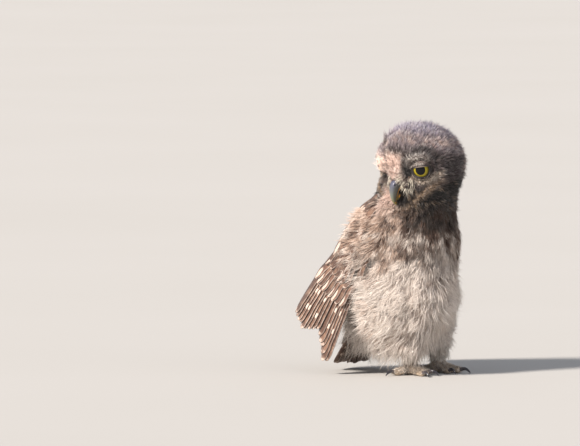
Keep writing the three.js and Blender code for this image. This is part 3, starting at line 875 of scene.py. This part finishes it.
ON_HEAD = {"slot": "head_down", "surface": surface_of(skin), "middle": HEAD_MIDDLE}
ON_BODY = {**ON_HEAD, "slot": "body_down", "middle": owl(-5, 15, 60)}
tufts("down_crown", **ON_HEAD, wanted=partial(grows, "crown"), seed=3, spacing=1.3,
      long=crown_long, lift=56, wide=0.48, barbs=5, clump=0.75)
tufts("down_face", **ON_HEAD, wanted=on_face, seed=5, spacing=0.88,
      long=over_face(2.4, 4.2, 5.8, 7.5), lift=over_face(16, 34, 36, 60), wide=0.28, barbs=5,
      fan=0.2, ruffle=0.1, sink=0.3, clump=0.6)
tufts("bristles", **ON_HEAD, wanted=on_lores, seed=15, spacing=1.8, long=8.0, lift=16, wide=0.3,
      barbs=4, fan=0.14, ruffle=0.0, sink=0.0, lie=from_inner_corner, colour=all_of(BRISTLE))
tufts("plume", **ON_HEAD, wanted=on_plume, seed=17, spacing=0.8, long=plume_long, lift=40,
      wide=0.36, barbs=6, fan=0.14, ruffle=0.15, sink=0.2, clump=0.5, lie=out_of_eye,
      colour=plume_colour)
tufts("down_breast", **ON_BODY, wanted=partial(grows, "breast"), seed=7, spacing=1.75,
      long=lambda places: lerp(9.5, 12.5, over_wing(places)),
      lift=lambda places: lerp(24, 37, over_wing(places)), wide=0.34, barbs=8, clump=0.45)
tufts("down_belly", **ON_BODY, wanted=partial(grows, "belly"), seed=9, spacing=1.75,
      long=lambda places: lerp(12.5, 21 * standing_out(places), flank_share(places)),
      lift=lambda places: lerp(26, 34, flank_share(places)), wide=0.3, barbs=9, ruffle=0.6,
      clump=0.55)
tufts("down_filaments", **ON_BODY, wanted=partial(grows, "flanks"), seed=10, spacing=2.9,
      long=lambda places: 22 * standing_out(places), lift=33, wide=0.3, barbs=6, fan=0.42,
      ruffle=0.7, clump=0.5, colour=all_of(BELLY))
tufts("down_back", **ON_BODY, wanted=partial(grows, "back"), seed=11, spacing=2.0, long=9.5,
      lift=20, wide=0.38, barbs=7, clump=0.4)
tufts("down_legs", **{**ON_BODY, "middle": owl(4, 3.5, 20)}, wanted=partial(grows, "legs"),
      seed=13, spacing=1.2, long=6.6, lift=42, wide=0.36, barbs=5)


# Wings and tail: overlapping vanes with a pale edge, brown webs and pale drops or bars. They
# lie on the same sheets, at the same heights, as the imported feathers. A flight or tail feather
# has bars, a covert a drop near its tip, and a plain one a pale edge alone.
BARRED, DROPPED, PLAIN, SPOTTED = 0.0, 1.0, 2.0, 1.2
FAN = {"high": 2.6, "low": -2.2, "tilt": 0.27, "edge": 18, "swell": 2.2, "passes": (50, 66)}
COVERT_ROOT = -1.8
TAIL_TIP_SHORT = 4
RINGS, TOP_POINTS = 15, 7
VANE_ACROSS = np.array([-1, -0.75, -0.38, 0, 0.38, 0.75, 1, 0.75, 0.38, 0, -0.38, -0.75])
AROUND = len(VANE_ACROSS)
VANE_TOP, VANE_UNDER, SHAFT_HIGH, VANE_DROOP = 0.16, -0.10, 0.12, 0.5

vane_finish = Finish("vane", Roughness=0.62, Sheen_Weight=0.15)
along = vane_finish.stored("along")
across = vane_finish.stored("across")
tone = vane_finish.stored("tone")
kind = vane_finish.stored("kind")
off_shaft = abs(across)
fine_grain = vane_finish.grain(1.6 * MM, detail=4)
web = vane_finish.painted(
    vane_finish.mix(tone, srgb(84, 58, 45), srgb(134, 98, 80)),
    (srgb(46, 30, 22), (0 - across).step(-0.1, 0.6) * 0.8),
    (srgb(72, 48, 35), fine_grain.step(0.35, 0.7) * 0.7),
    (srgb(164, 130, 106), vane_finish.grain(5 * MM).step(0.45, 0.7) * 0.5),
)
edge = (off_shaft + (fine_grain - 0.5) * 0.25).step(0.72, 0.9)
edge = edge * across.step(-0.2, 0.6).most(tone.step(0.78, 0.82))
edge = edge * (0.5 + 0.5 * vane_finish.grain(6 * MM).step(0.4, 0.6))
end = (along + (fine_grain - 0.5) * 0.05).step(0.94, 0.975)
end = end * (0.25 + 0.75 * vane_finish.grain(3.5 * MM).step(0.42, 0.58))
wave = ((along * 4.6 + tone) * (2 * math.pi)).math("SINE")
bars = (wave + (fine_grain - 0.5) * 0.8).step(0.55, 0.8) * off_shaft.step(0.3, 0.42)
bars = bars * (1 - off_shaft.step(0.74, 0.86)) * (kind < 0.5) * (1 - along.step(0.84, 0.9))
bars = bars * tone.step(0.5, 0.6)
drop_way = ((along - 0.8) * 4.4) ** 2.0 + (across * 1.9) ** 2.0
drop = 1 - (drop_way + (fine_grain - 0.5) * 0.5).step(0.55, 1.0)
drop = drop * (abs(kind - DROPPED) < 0.5) * tone.step(0.45, 0.5).most(kind > 1.1)
barb_lines = vane_finish.node("TexWave", {"wave_type": "BANDS", "bands_direction": "DIAGONAL"}, {
    "Vector": vane_finish.node("CombineXYZ", {}, {0: off_shaft * 0.55, 1: along * 9.0, 2: tone}),
    "Scale": 7.0, "Distortion": 1.2, "Detail": 2.0,
})
vane_finish.shade(
    Base_Color=vane_finish.painted(
        web,
        (vane_finish.mix(fine_grain, srgb(244, 226, 212), srgb(212, 184, 166)),
         (edge.most(end) * 0.9).most(bars).most(drop)),
        (srgb(70, 48, 36), (1 - off_shaft.step(0.03, 0.09)) * 0.6),
        (srgb(60, 44, 36), barb_lines * 0.22),
    ),
    Normal=vane_finish.bump(barb_lines, 0.15 * MM, 0.6),
)


def pad_face(size, s, q):
    left = 1 - ((s - size["at"]) / size["long"]) ** 2 - ((q - size["middle"]) / size["half"]) ** 2
    return size["high"] * np.sqrt(np.maximum(left, 0))


def fan_height(share):
    return lerp(FAN["high"], FAN["low"], share)


def wing_face(s, q):
    arm = WING_PAD["sink"] + pad_face(WING_PAD, s, q)
    fan = fan_height((q + FAN["edge"]) / (2 * FAN["edge"])) + FAN["swell"]
    return np.maximum(arm, lerp(arm, fan, smoothstep(s, *FAN["passes"])))


def row(rng, count, roots, start, tips, end, wide, kind, height, tilt=0.17, bulge=0, vary=0.8,
        root_wide=0.55, blunt=0.7, face=1):
    """Feathers with [s, q] roots and tips spread from the row's first feather to its last."""
    made = []
    for i in range(count):
        u = i / max(count - 1, 1)
        reach = lerp(*tips, u) + bulge * math.sin(u * math.pi) + rng.normal(0, vary)
        made.append({
            "root": np.array([lerp(*roots, u), lerp(start[0], end[0], u)]),
            "tip": np.array([reach, lerp(start[1], end[1], u) + rng.normal(0, 0.25)]),
            "wide": wide * rng.uniform(0.94, 1.06), "kind": kind, "face": face,
            "height": height(i), "tilt": at(tilt, i),
            "root_wide": root_wide, "blunt": blunt, "tone": rng.random(),
        })
    return made


def vane_points(made, feather, rng):
    t = np.sin(np.linspace(0, np.pi / 2, RINGS))[:, None]
    root, tip = feather["root"], feather["tip"]
    ahead = unit(tip - root)
    s, q = lerp(root[0], tip[0], t), lerp(root[1], tip[1], t)
    swell = lerp(feather["root_wide"], 1, smoothstep(t, 0, 0.5))
    rounding = np.clip((t - feather["blunt"]) / (1 - feather["blunt"]), 0, 1)
    ragged = 1 - 0.12 * rng.random((RINGS, 2)) ** 4
    edge = np.where(VANE_ACROSS < 0, ragged[:, :1], ragged[:, 1:])
    share = np.maximum(swell * np.sqrt(1 - rounding**2.2), 0.03) * edge
    c = VANE_ACROSS * feather["wide"] * share / 2
    point = np.arange(AROUND)
    thick = np.where(point < TOP_POINTS, VANE_TOP, VANE_UNDER) * (1 - VANE_ACROSS**2)
    thick = thick + SHAFT_HIGH * (point == TOP_POINTS // 2) - VANE_DROOP * VANE_ACROSS**2 * share
    h = feather["height"](s, q, t) + feather["tilt"] * c + feather["face"] * thick
    places = on_sheet(made, (s - ahead[1] * c).ravel(), (q + ahead[0] * c).ravel(), h.ravel())
    return places, np.broadcast_to(t, c.shape).ravel()


def ring_quads(rings, turns):
    """The four corners of each face between rings of points."""
    ring, point = np.divmod(np.arange((rings - 1) * turns), turns)
    first, after = ring * turns, (point + 1) % turns
    return np.stack([first + point, first + after, first + turns + after, first + turns + point], 1)


def vane_marks():
    """Where the corners of a vane's quads lie in its own square of the bake's map."""
    ring, point = np.divmod(np.arange((RINGS - 1) * AROUND), AROUND)
    half, step = np.divmod(point, TOP_POINTS - 1)
    left, low = 0.04 + 0.5 * half + 0.07 * step, 0.05 + 0.9 * ring / RINGS
    right, high = left + 0.07, low + 0.9 / RINGS
    return np.stack([np.c_[left, low], np.c_[right, low], np.c_[right, high], np.c_[left, high]], 1)


def moulded(name, places, faces):
    """A smooth new piece from its points and faces."""
    mesh = bpy.data.meshes.new(name)
    mesh.from_pydata(places.tolist(), [], faces)
    piece = new_piece(name, mesh)
    shade_smooth(piece)
    return piece


def vanes(name, made, feathers, node, seed):
    rng = np.random.default_rng(seed)
    per_feather = RINGS * AROUND
    quads, marks = ring_quads(RINGS, AROUND), vane_marks()
    caps = np.array([np.arange(AROUND)[::-1], np.arange(per_feather - AROUND, per_feather)])
    cells = math.ceil(math.sqrt(len(feathers)))
    places, alongs, faces, spots = [], [], [], []
    for number, feather in enumerate(feathers):
        found, t = vane_points(made, feather, rng)
        corner = np.array([number % cells, number // cells]) / cells
        sides = found[quads] - found[0]
        volume = (sides[:, 0] * np.cross(sides[:, 1], sides[:, 2])).sum()
        turn = -1 if volume < 0 else 1
        for group in (quads, caps):
            faces += (group[:, ::turn] + number * per_feather).tolist()
        spots.append((corner + marks[:, ::turn] / cells).reshape(-1, 2))
        spots.append(np.tile(corner + 0.97 / cells, (caps.size, 1)))
        places.append(found)
        alongs.append(t)
    piece = moulded(name, np.concatenate(places), faces)
    layer = piece.data.uv_layers.new(name="OFBake")
    layer.data.foreach_set("uv", np.concatenate(spots).astype(np.float32).ravel())
    store(piece, "along", np.concatenate(alongs))
    store(piece, "across", np.tile(VANE_ACROSS, RINGS * len(feathers)))
    for field in ("tone", "kind"):
        store(piece, field, np.repeat([feather[field] for feather in feathers], per_feather))
    vane_finish.wear(piece)
    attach(piece, "root")
    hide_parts(node)


def wing_feathers(rng):
    def flight(before):
        return lambda i: lambda s, q, t: fan_height((before + i) / 14) + 0 * t

    def covert(rise):
        return lambda i: lambda s, q, t: wing_face(s, q) + lerp(COVERT_ROOT, rise, t**0.6)

    return [
        *row(rng, 9, (42, 47), (-11, -27), (110, 108), (3.7, 3.5), 11, BARRED, flight(0),
             FAN["tilt"], 5, root_wide=0.5, blunt=0.9),
        *row(rng, 6, (48.4, 52), (8, 9.5), (109, 124), (17, 23), 8.6, BARRED, flight(9),
             FAN["tilt"], 2, root_wide=0.5, blunt=0.88, vary=1.6),
        *row(rng, 9, (50, 54), (-11, -16), (76, 80), (14, 17), 9, DROPPED, covert(1.2), bulge=1),
        *row(rng, 8, (36, 40), (-10, -13), (61, 65), (11, 13), 8.4, DROPPED, covert(1.3)),
        *row(rng, 7, (26, 30), (-10, -13), (49, 53), (8, 10), 8, PLAIN, covert(1.4)),
        *row(rng, 6, (16, 19), (-10, -13), (38, 41), (4, 6), 7.6, DROPPED, covert(1.5)),
        *row(rng, 5, (7, 10), (-10, -12), (27, 30), (1, 3), 7.4, PLAIN, covert(1.6)),
        *row(rng, 4, (-2, 2), (-9, -11), (16, 19), (-2, 0), 7, DROPPED, covert(1.7)),
        *row(rng, 6, (-4, 30), (-12, -14), (17, 60), (-12, -13), 7.4, SPOTTED, covert(2.1), 0.1),
        *row(rng, 3, (38, 42), (18, 19), (60, 70), (16, 19), 6, PLAIN, covert(0.6), 0.15),
    ]


def tail_feathers(rng):
    def rectrix(i):
        return lambda s, q, t: 1 - 0.44 * abs(i - 5.5) + 0 * t

    def covert(face, least):
        def height(i):
            lift = 0 if i % 3 == 0 else 1.0
            return lambda s, q, t: face * (np.maximum(pad_face(RUMP_PAD, s, q), least) + lift
                                           + lerp(COVERT_ROOT, 0.7, t**0.6))

        return height

    end = TAIL["length"] - TAIL_TIP_SHORT
    found = [
        *row(rng, 12, (16, 16), (-10.5, -16.5), (end, end), (10.5, 16.5), 8.4, BARRED, rectrix,
             lambda i: 0.22 * np.sign(i - 5.5), 4, blunt=0.86),
        *row(rng, 6, (12, 12), (-7.5, -9.6), (33, 33), (7.5, 9.6), 7.5, DROPPED,
             covert(1, 1.6), 0, 2.3),
        *row(rng, 5, (14, 14), (-7.5, -9.6), (33, 33), (7.5, 9.6), 8, PLAIN,
             covert(-1, 3.4), 0, 2.3, face=-1),
    ]
    for feather in found:
        feather["tone"] = 0.8 + 0.2 * feather["tone"]
    return found


for number, (side, made) in enumerate(WING.items()):
    feathers = wing_feathers(np.random.default_rng(21 + number))
    vanes(f"vanes_{side}", made, feathers, f"wing_{side}", 31 + number)
vanes("vanes_tail", TAIL, tail_feathers(np.random.default_rng(25)), "tail", 35)


# The eyes: wet balls with a bulging cornea, a lemon-yellow iris and a round black pupil. Each
# fills its socket behind the lids and looks along the gaze.
PUPIL_EDGE, IRIS_EDGE = 25, 44  # degrees from the gaze
CORNEA = 0.7
eye_finish = Finish("wet_eye", Roughness=0.3, Specular_IOR_Level=0.1, Coat_Weight=0.35,
                    Coat_Roughness=0.02)
off_axis = eye_finish.stored("off_axis")
iris = eye_finish.mix(off_axis.step(PUPIL_EDGE, IRIS_EDGE), srgb(170, 152, 34), srgb(104, 94, 18))
iris_flecks = eye_finish.grain(0.5 * MM, detail=4).step(0.5, 0.8) * 0.4
iris = eye_finish.mix(iris_flecks, iris, srgb(120, 98, 18))
iris = eye_finish.mix(off_axis.step(PUPIL_EDGE - 0.8, PUPIL_EDGE + 0.8), srgb(4, 4, 5), iris)
iris = eye_finish.mix(off_axis.step(IRIS_EDGE - 3, IRIS_EDGE), iris, srgb(14, 10, 9))
eye_finish.shade(Base_Color=iris)


def eye_reach(cosine):
    return EYE_RADIUS + CORNEA * smoothstep(cosine, 0.72, 0.95)


for name, side in EYE_SIDES.items():
    bpy.ops.object.select_all(action="DESELECT")
    bpy.ops.mesh.primitive_uv_sphere_add(segments=64, ring_count=40, radius=1)
    eye = bpy.context.object
    eye.name = eye.data.name = f"eyeball_{name}"
    way = unit(points_of(eye))
    reach = eye_reach(way[:, 2])[:, None] * MM
    move_points(eye, eye_middle(side) + (way @ eye_axes(side)) * reach)
    edited(eye, bpy.ops.mesh.normals_make_consistent, bpy.ops.mesh.faces_shade_smooth)
    store(eye, "off_axis", np.degrees(np.arccos(np.clip(way[:, 2], -1, 1))))
    eye_finish.wear(eye)
    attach(eye, "root")
    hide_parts(f"eye_{name}")


# The lids: bare black skin folded round each eye, the upper one drawn down level over it with
# a thin pale margin and short down on its outside.
OPENING, UPPER_EDGE, LOWER_EDGE, LID_SLOPE = 6.4, 1.9, -5.6, 0.19
LID_TURNS, LID_RINGS, LID_WIDE, LID_THICK = 96, 18, 6.0, 0.35
lid_finish = Finish("lid_skin", Roughness=0.5)
from_edge = lid_finish.stored("from_edge")
upper = lid_finish.stored("upper")
folds = lid_finish.grain(0.5 * MM, detail=4)
lid_finish.shade(
    Base_Color=lid_finish.painted(
        lid_finish.mix(folds.step(0.3, 0.8), srgb(20, 16, 17), srgb(52, 44, 42)),
        (srgb(112, 96, 90), upper.step(0.3, 0.8) * from_edge.step(1.0, 2.2) * 0.8),
        (srgb(176, 160, 148), (1 - abs(from_edge - 0.55).step(0.15, 0.4)) * upper.step(0.25, 0.6)),
    ),
    Normal=lid_finish.bump(folds, 0.25 * MM, 0.7),
)


def lesser(a, b, sharp):
    """The smaller of two lengths, with a rounded corner where they cross."""
    return -np.log(np.exp(-a * sharp) + np.exp(-b * sharp)) / sharp


def lids(name, side):
    phi = np.linspace(0, 2 * np.pi, LID_TURNS, endpoint=False)
    a, b = np.cos(phi), np.sin(phi)
    upper_line = b - LID_SLOPE * a
    cut = np.where(upper_line > 0.05, UPPER_EDGE / np.maximum(upper_line, 0.05), 99)
    low = np.where(b < -0.05, LOWER_EDGE / np.minimum(b, -0.05), 99)
    reach = lesser(lesser(np.full(LID_TURNS, OPENING), cut, 1.6), low, 2.5)
    e = (np.linspace(0, 1, LID_RINGS) ** 1.5 * LID_WIDE)[:, None]
    theta = np.arcsin(np.clip(reach / (EYE_RADIUS + CORNEA), 0, 0.98)) + e / 9.3
    folded = 0.10 * np.sin(e * 3.4 + 0.6 * np.sin(3 * phi)) * smoothstep(e, 0.8, 1.6)
    over = 0.2 + 0.75 * smoothstep(e, 0, 0.8) - 1.3 * smoothstep(e, 2.6, LID_WIDE) + folded
    over = over + 0.7 * smoothstep(upper_line, 0, 0.8) * smoothstep(e, 0.2, 1.6)
    radius = eye_reach(np.cos(theta)) + over
    way = np.stack([np.sin(theta) * a, np.sin(theta) * b, np.cos(theta)], axis=-1)
    places = eye_middle(side) + (way * radius[..., None] * MM) @ eye_axes(side)
    faces = ring_quads(LID_RINGS, LID_TURNS)[:, ::-side]
    piece = moulded(f"lids_{name}", places.reshape(-1, 3), faces.tolist())
    store(piece, "from_edge", np.broadcast_to(e, radius.shape))
    store(piece, "upper", np.broadcast_to(upper_line, radius.shape))
    shell = piece.modifiers.new("thickness", "SOLIDIFY")
    shell.thickness = LID_THICK * MM
    shell.offset = 1
    apply_all(piece)
    lid_finish.wear(piece)
    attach(piece, "root")
    return piece


def on_lid(side, places):
    temple, up, out = off_eye(side, places)
    over = smoothstep(up - LID_SLOPE * temple, 2.9, 3.6)
    below = smoothstep(np.hypot(temple, 1.12 * up), 7.3, 8.1)
    corner = spot(temple, up, (-9.6, -3.0), (3.4, 3.2))
    return np.maximum(over, below) * (1 - np.minimum(1, 1.6 * corner)) * smoothstep(out, -1, 1)


def over_lid(side, places, ups):
    return flattened(places - eye_middle(side), ups)


def lid_colour(side, places):
    temple, up = off_eye(side, places)[:2]
    specks = mottle(places, 1.2 * MM, seed=12)
    return painted(
        CHEEK,
        (BROW, 0.9 * smoothstep(-temple, -4.5, 0) * smoothstep(up, 0, 3)),
        (CHEEK_PALE, 0.8 * smoothstep(-up, 1, 4)),
        (SPECK, 0.6 * smoothstep(specks, 0.1, 0.4)),
    )


for name, side in EYE_SIDES.items():
    folded_lids = lids(name, side)
    tufts(f"lid_down_{name}", **{**ON_HEAD, "surface": surface_of(folded_lids)},
          wanted=partial(on_lid, side), seed=51 + side, spacing=0.68, long=1.8, lift=24, wide=0.24,
          barbs=3, fan=0.2, ruffle=0.1, sink=0.15, lie=partial(over_lid, side),
          colour=partial(lid_colour, side))


# The bill: horn, blue-grey at the swollen base, grey-green along the ridge and yellow-green at
# the hooked tip, with dark nostrils and an orange-yellow edge to the mouth. A station has its
# place forwards and up, its half width and its half depth.
UPPER_STATIONS = [
    (20, -5, 4.6, 4.4), (27, -5.4, 4.8, 4.5), (31.2, -8.2, 4.4, 4.0), (33.2, -12.2, 3.5, 3.2),
    (33.8, -16.2, 2.4, 2.3), (33, -19.6, 1.3, 1.3), (31.6, -21.8, 0.35, 0.35),
]
LOWER_STATIONS = [
    (20, -10.5, 3.9, 2.6), (26, -12.5, 3.5, 2.4), (29, -15.2, 2.6, 1.8), (30.4, -18, 1.2, 0.9),
]
NOSTRIL, NOSTRIL_RADIUS = np.array([2.2, 32.6, -5.6]), 1.0
BILL_STEPS, BILL_SIDES = 64, 48

horn = Finish("horn", Roughness=0.5, Specular_IOR_Level=0.25, Coat_Weight=0.08)
length_on = horn.stored("length_on")
growth = horn.grain(0.9 * MM, detail=3)
horn.shade(
    Base_Color=horn.painted(
        horn.mix(length_on.step(0.25, 0.65), srgb(78, 78, 96), srgb(118, 122, 110)),
        (srgb(166, 160, 84), length_on.step(0.55, 0.95)),
        (srgb(72, 76, 80), growth.step(0.45, 0.8) * 0.35),
        # painted shade: both sides of the bill darkened
        (srgb(62, 60, 50), horn.stored("flank_shade") * 0.8),
        (srgb(222, 150, 40), horn.stored("gape")),
        (srgb(12, 10, 12), horn.stored("hole")),
    ),
    Normal=horn.bump(growth, 0.12 * MM, 0.5),
)


def smooth_path(stations, count):
    """Stations passed through by a Catmull-Rom curve, at count even steps."""
    knots = np.array(stations, float)
    knots = np.vstack([2 * knots[0] - knots[1], knots, 2 * knots[-1] - knots[-2]])
    found = []
    for step in np.linspace(0, len(stations) - 1, count):
        i = min(int(step), len(stations) - 2)
        t = step - i
        a, b, c, d = knots[i:i + 4]
        found.append(0.5 * (2 * b + (c - a) * t + (2 * a - 5 * b + 4 * c - d) * t**2
                            + (3 * b - a - 3 * c + d) * t**3))
    found = np.array(found)
    return found, unit(np.gradient(found[:, :2], axis=0))


def closed_loft(name, rings):
    """A smooth closed skin over rings of points, its ends drawn to their middles."""
    count, sides = rings.shape[:2]
    places = np.vstack([rings.reshape(-1, 3), rings[0].mean(0), rings[-1].mean(0)])
    root, last = count * sides, (count - 1) * sides
    faces = ring_quads(count, sides)[:, [0, 3, 2, 1]].tolist()
    faces += [[root, j, (j + 1) % sides] for j in range(sides)]
    faces += [[root + 1, last + (j + 1) % sides, last + j] for j in range(sides)]
    return edited(moulded(name, places, faces), bpy.ops.mesh.normals_make_consistent)


def bill_half(name, node, stations, ridge, gape_side):
    path, tangent = smooth_path(stations, BILL_STEPS)
    outward = np.c_[-tangent[:, 1], tangent[:, 0]]
    outward *= np.sign(outward @ [0.3, 1.0])[:, None]
    turn = np.linspace(0, 2 * np.pi, BILL_SIDES, endpoint=False)
    high = np.sin(turn)
    aside = np.cos(turn) * (1 - ridge * np.maximum(high, 0) ** 1.6)
    deep = np.where(high < 0, 0.86, 1.0) * high
    x = path[:, 2:3] * aside
    y = path[:, :1] + outward[:, :1] * path[:, 3:4] * deep
    z = path[:, 1:2] + outward[:, 1:] * path[:, 3:4] * deep
    places = np.stack([x, y, z], axis=-1)
    hole_at = np.zeros(x.shape)
    if ridge:
        for way in (1, -1):
            off = np.linalg.norm(places - NOSTRIL * [way, 1, 1], axis=-1)
            swelling = 0.75 * around(off, 0, 2.1) - 1.1 * around(off, 0, 0.8)
            places = places + swelling[..., None] * np.array([way * 0.75, 0.6, 0.25])
            hole_at = np.maximum(hole_at, 1 - smoothstep(off, 0.6, NOSTRIL_RADIUS))
    length = np.broadcast_to(np.linspace(0, 1, BILL_STEPS)[:, None], x.shape)
    edge = around(high * gape_side, 0.42, 0.24) * (1 - smoothstep(length, 0.72, 0.9))
    # Painted shade: how far each place lies round onto a side of the bill, where the bill is
    # darkened.
    flank_shade = smoothstep(np.abs(np.broadcast_to(aside, x.shape)), 0.3, 0.75)
    piece = closed_loft(name, HEAD_MIDDLE + places @ HEAD * MM)
    for field, values, tip in (("length_on", length, 1), ("gape", edge, 0), ("hole", hole_at, 0),
                               ("flank_shade", flank_shade, 0)):
        store(piece, field, np.r_[values.ravel(), 0, tip])
    horn.wear(piece)
    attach(piece, "root")
    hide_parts(node)


bill_half("bill_ridge", "bill_upper", UPPER_STATIONS, ridge=0.34, gape_side=-1)
bill_half("bill_under", "bill_lower", LOWER_STATIONS, ridge=0, gape_side=1)


# The feet: scaled toes under short bristly down, each with a curved dark claw resting on the
# floor at its tip. A toe has its turn outwards in degrees and its length.
TOES = {"inner": (-14, 16), "middle": (16, 19), "outer": (98, 15), "hind": (-162, 11)}
LEG_PLACES = {"right": (-11, 4, -1), "left": (19, 4, 1)}
CLAW_LONG, CLAW_STEPS, CLAW_SIDES = 8.4, 28, 20
TOE_VOXEL = 0.5 * MM
scales = Finish("scaled_toe", Roughness=0.6)
cells = scales.node("TexVoronoi", {"feature": "DISTANCE_TO_EDGE"}, {
    "Vector": scales.place(), "Scale": 1 / (1.3 * MM)})
toe_tone = scales.mix(cells.step(0.0, 0.12), srgb(146, 122, 100), srgb(206, 186, 162))
toe_tone = scales.mix(scales.grain(3 * MM).step(0.4, 0.7) * 0.4, toe_tone, srgb(226, 212, 192))
scales.shade(Base_Color=toe_tone, Normal=scales.bump(cells.step(0, 0.2), 0.25 * MM, 0.8))

claw_finish = Finish("claw_horn", Roughness=0.22, Coat_Weight=0.5, Coat_Roughness=0.1)
claw_tone = claw_finish.mix(
    claw_finish.stored("length_on").step(0.0, 0.5), srgb(104, 96, 96), srgb(30, 27, 32))
claw_finish.shade(Base_Color=claw_finish.mix(
    claw_finish.grain(0.8 * MM) * 0.3, claw_tone, srgb(84, 80, 88)))


def claw(side, toe):
    x, y, outwards = LEG_PLACES[side]
    turn, long = TOES[toe]
    turn = math.radians(turn)
    ahead = np.array([outwards * math.sin(turn), -math.cos(turn), 0])
    path, tangent = smooth_path([
        (long - 1.4, 2.4, 1.35, 1.4), (long + CLAW_LONG * 0.3, 3.5, 1.25, 1.3),
        (long + CLAW_LONG * 0.6, 3.2, 0.95, 1.05), (long + CLAW_LONG * 0.86, 1.7, 0.62, 0.68),
        (long + CLAW_LONG, 0.22, 0.16, 0.2),
    ], CLAW_STEPS)
    turns = np.linspace(0, 2 * np.pi, CLAW_SIDES, endpoint=False)
    high = np.sin(turns) * path[:, 3:4]
    reach = path[:, :1] - tangent[:, 1:] * high
    z = np.maximum(path[:, 1:2] + tangent[:, :1] * high, 0.02)
    places = owl(x, y - 0.5, 0) / MM + reach[..., None] * ahead + z[..., None] * [0, 0, 1]
    aside = (path[:, 2:3] * np.cos(turns))[..., None] * np.cross(ahead, [0, 0, 1])
    piece = closed_loft(f"talon_{side}_{toe}", (places + aside) * MM)
    length = np.broadcast_to(np.linspace(0, 1, CLAW_STEPS)[:, None], z.shape)
    store(piece, "length_on", np.r_[length.ravel(), 0, 1])
    claw_finish.wear(piece)
    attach(piece, "root")
    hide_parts(f"claw_{side}_{toe}")


def toe_skin(side):
    toes = joined(f"toes_{side}", [copy_of_node(f"foot_{side}")])
    remeshed(toes, TOE_VOXEL, smoothing=5)
    places = points_of(toes)
    places[:, 2] = np.maximum(places[:, 2], owl(0, 0, 0.02)[2])
    move_points(toes, places)
    shade_smooth(toes)
    scales.wear(toes)
    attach(toes, "root")
    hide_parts(f"foot_{side}")
    return toes


def toe_colour(places):
    tint = mottle(places, 4 * MM, seed=4)
    return painted(LEG_DOWN, (srgb(196, 172, 144), 0.5 + 0.5 * tint))


def on_toes(side, places):
    x, y, z = in_owl(places)
    off = np.hypot(x - LEG_PLACES[side][0], y - LEG_PLACES[side][1])
    return smoothstep(z, 2.0, 3.6) * (1 - 0.8 * smoothstep(off, 10, 17))


def along_toes(side, places, ups):
    way = in_owl(places).T - [*LEG_PLACES[side][:2], 0]
    way[:, 2] = -3
    return flattened(way, ups)


for number, side in enumerate(LEG_PLACES):
    toes = toe_skin(side)
    tufts(f"toe_down_{side}", "toes", surface_of(toes), owl(*LEG_PLACES[side][:2], 4),
          wanted=partial(on_toes, side), seed=41 + number, spacing=0.85, long=3.4, lift=32,
          wide=0.26, barbs=5, ruffle=0.2, sink=0.2, colour=toe_colour,
          lie=partial(along_toes, side))
    for toe in TOES:
        claw(side, toe)


# The studio: a plain pale floor, a soft warm key from the owl's right and a cool fill, seen
# through a long lens from the photograph's side.
PIXEL = 0.75 * MM  # how much of the owl one pixel of the 580 x 446 frame shows
PHOTO_SIZE = (580, 446)
FEET_PIXEL = (424, 374)  # where the point between the feet shows
AZIMUTH, ELEVATION, DISTANCE = -45, 4, 5.0
SENSOR = 36

bpy.ops.mesh.primitive_circle_add(vertices=96, radius=30, fill_type="NGON")
floor = bpy.context.object
floor.name = floor.data.name = "floor"
floor_finish = Finish("pale_floor", Roughness=0.8)
floor_finish.shade(Base_Color=floor_finish.mix(
    floor_finish.grain(0.4), srgb(178, 175, 170), srgb(182, 179, 175)))
floor_finish.wear(floor)

azimuth, elevation = math.radians(AZIMUTH), math.radians(ELEVATION)
to_camera = np.array([
    math.sin(azimuth) * math.cos(elevation), -math.cos(azimuth) * math.cos(elevation),
    math.sin(elevation),
])
image_right = np.array([math.cos(azimuth), math.sin(azimuth), 0])
image_up = np.cross(to_camera, image_right)
aim = owl(0, 0, 0) + image_right * (PHOTO_SIZE[0] / 2 - FEET_PIXEL[0]) * PIXEL
aim = aim + image_up * (FEET_PIXEL[1] - PHOTO_SIZE[1] / 2) * PIXEL


def facing(way):
    return Vector(way).to_track_quat("Z", "Y").to_euler()


bpy.ops.object.camera_add(location=aim + to_camera * DISTANCE)
camera = bpy.context.object
camera.rotation_euler = facing(to_camera)
camera.data.sensor_width = SENSOR
camera.data.lens = SENSOR * DISTANCE / (PHOTO_SIZE[0] * PIXEL)
bpy.context.scene.camera = camera


def sun(name, way, strength, spread, colour):
    bpy.ops.object.light_add(type="SUN", location=aim + way)
    light = bpy.context.object
    light.name = name
    light.rotation_euler = facing(way)
    light.data.energy = strength
    light.data.angle = math.radians(spread)
    light.data.color = colour


UPWARDS = np.array([0, 0, 1.0])
sun("key", -image_right + to_camera * 0.7 + UPWARDS * 0.9, 6.6, 10, (1, 0.93, 0.86))
sun("fill", image_right * 0.7 + to_camera * 0.5 + UPWARDS * 0.6, 0.35, 60, (0.88, 0.93, 1))
world = bpy.data.worlds.new("studio")
world.use_nodes = True
background = world.node_tree.nodes["Background"]
background.inputs["Color"].default_value = (0.86, 0.9, 1, 1)
background.inputs["Strength"].default_value = 0.5
bpy.context.scene.world = world
bpy.context.scene.view_settings.view_transform = "Standard"
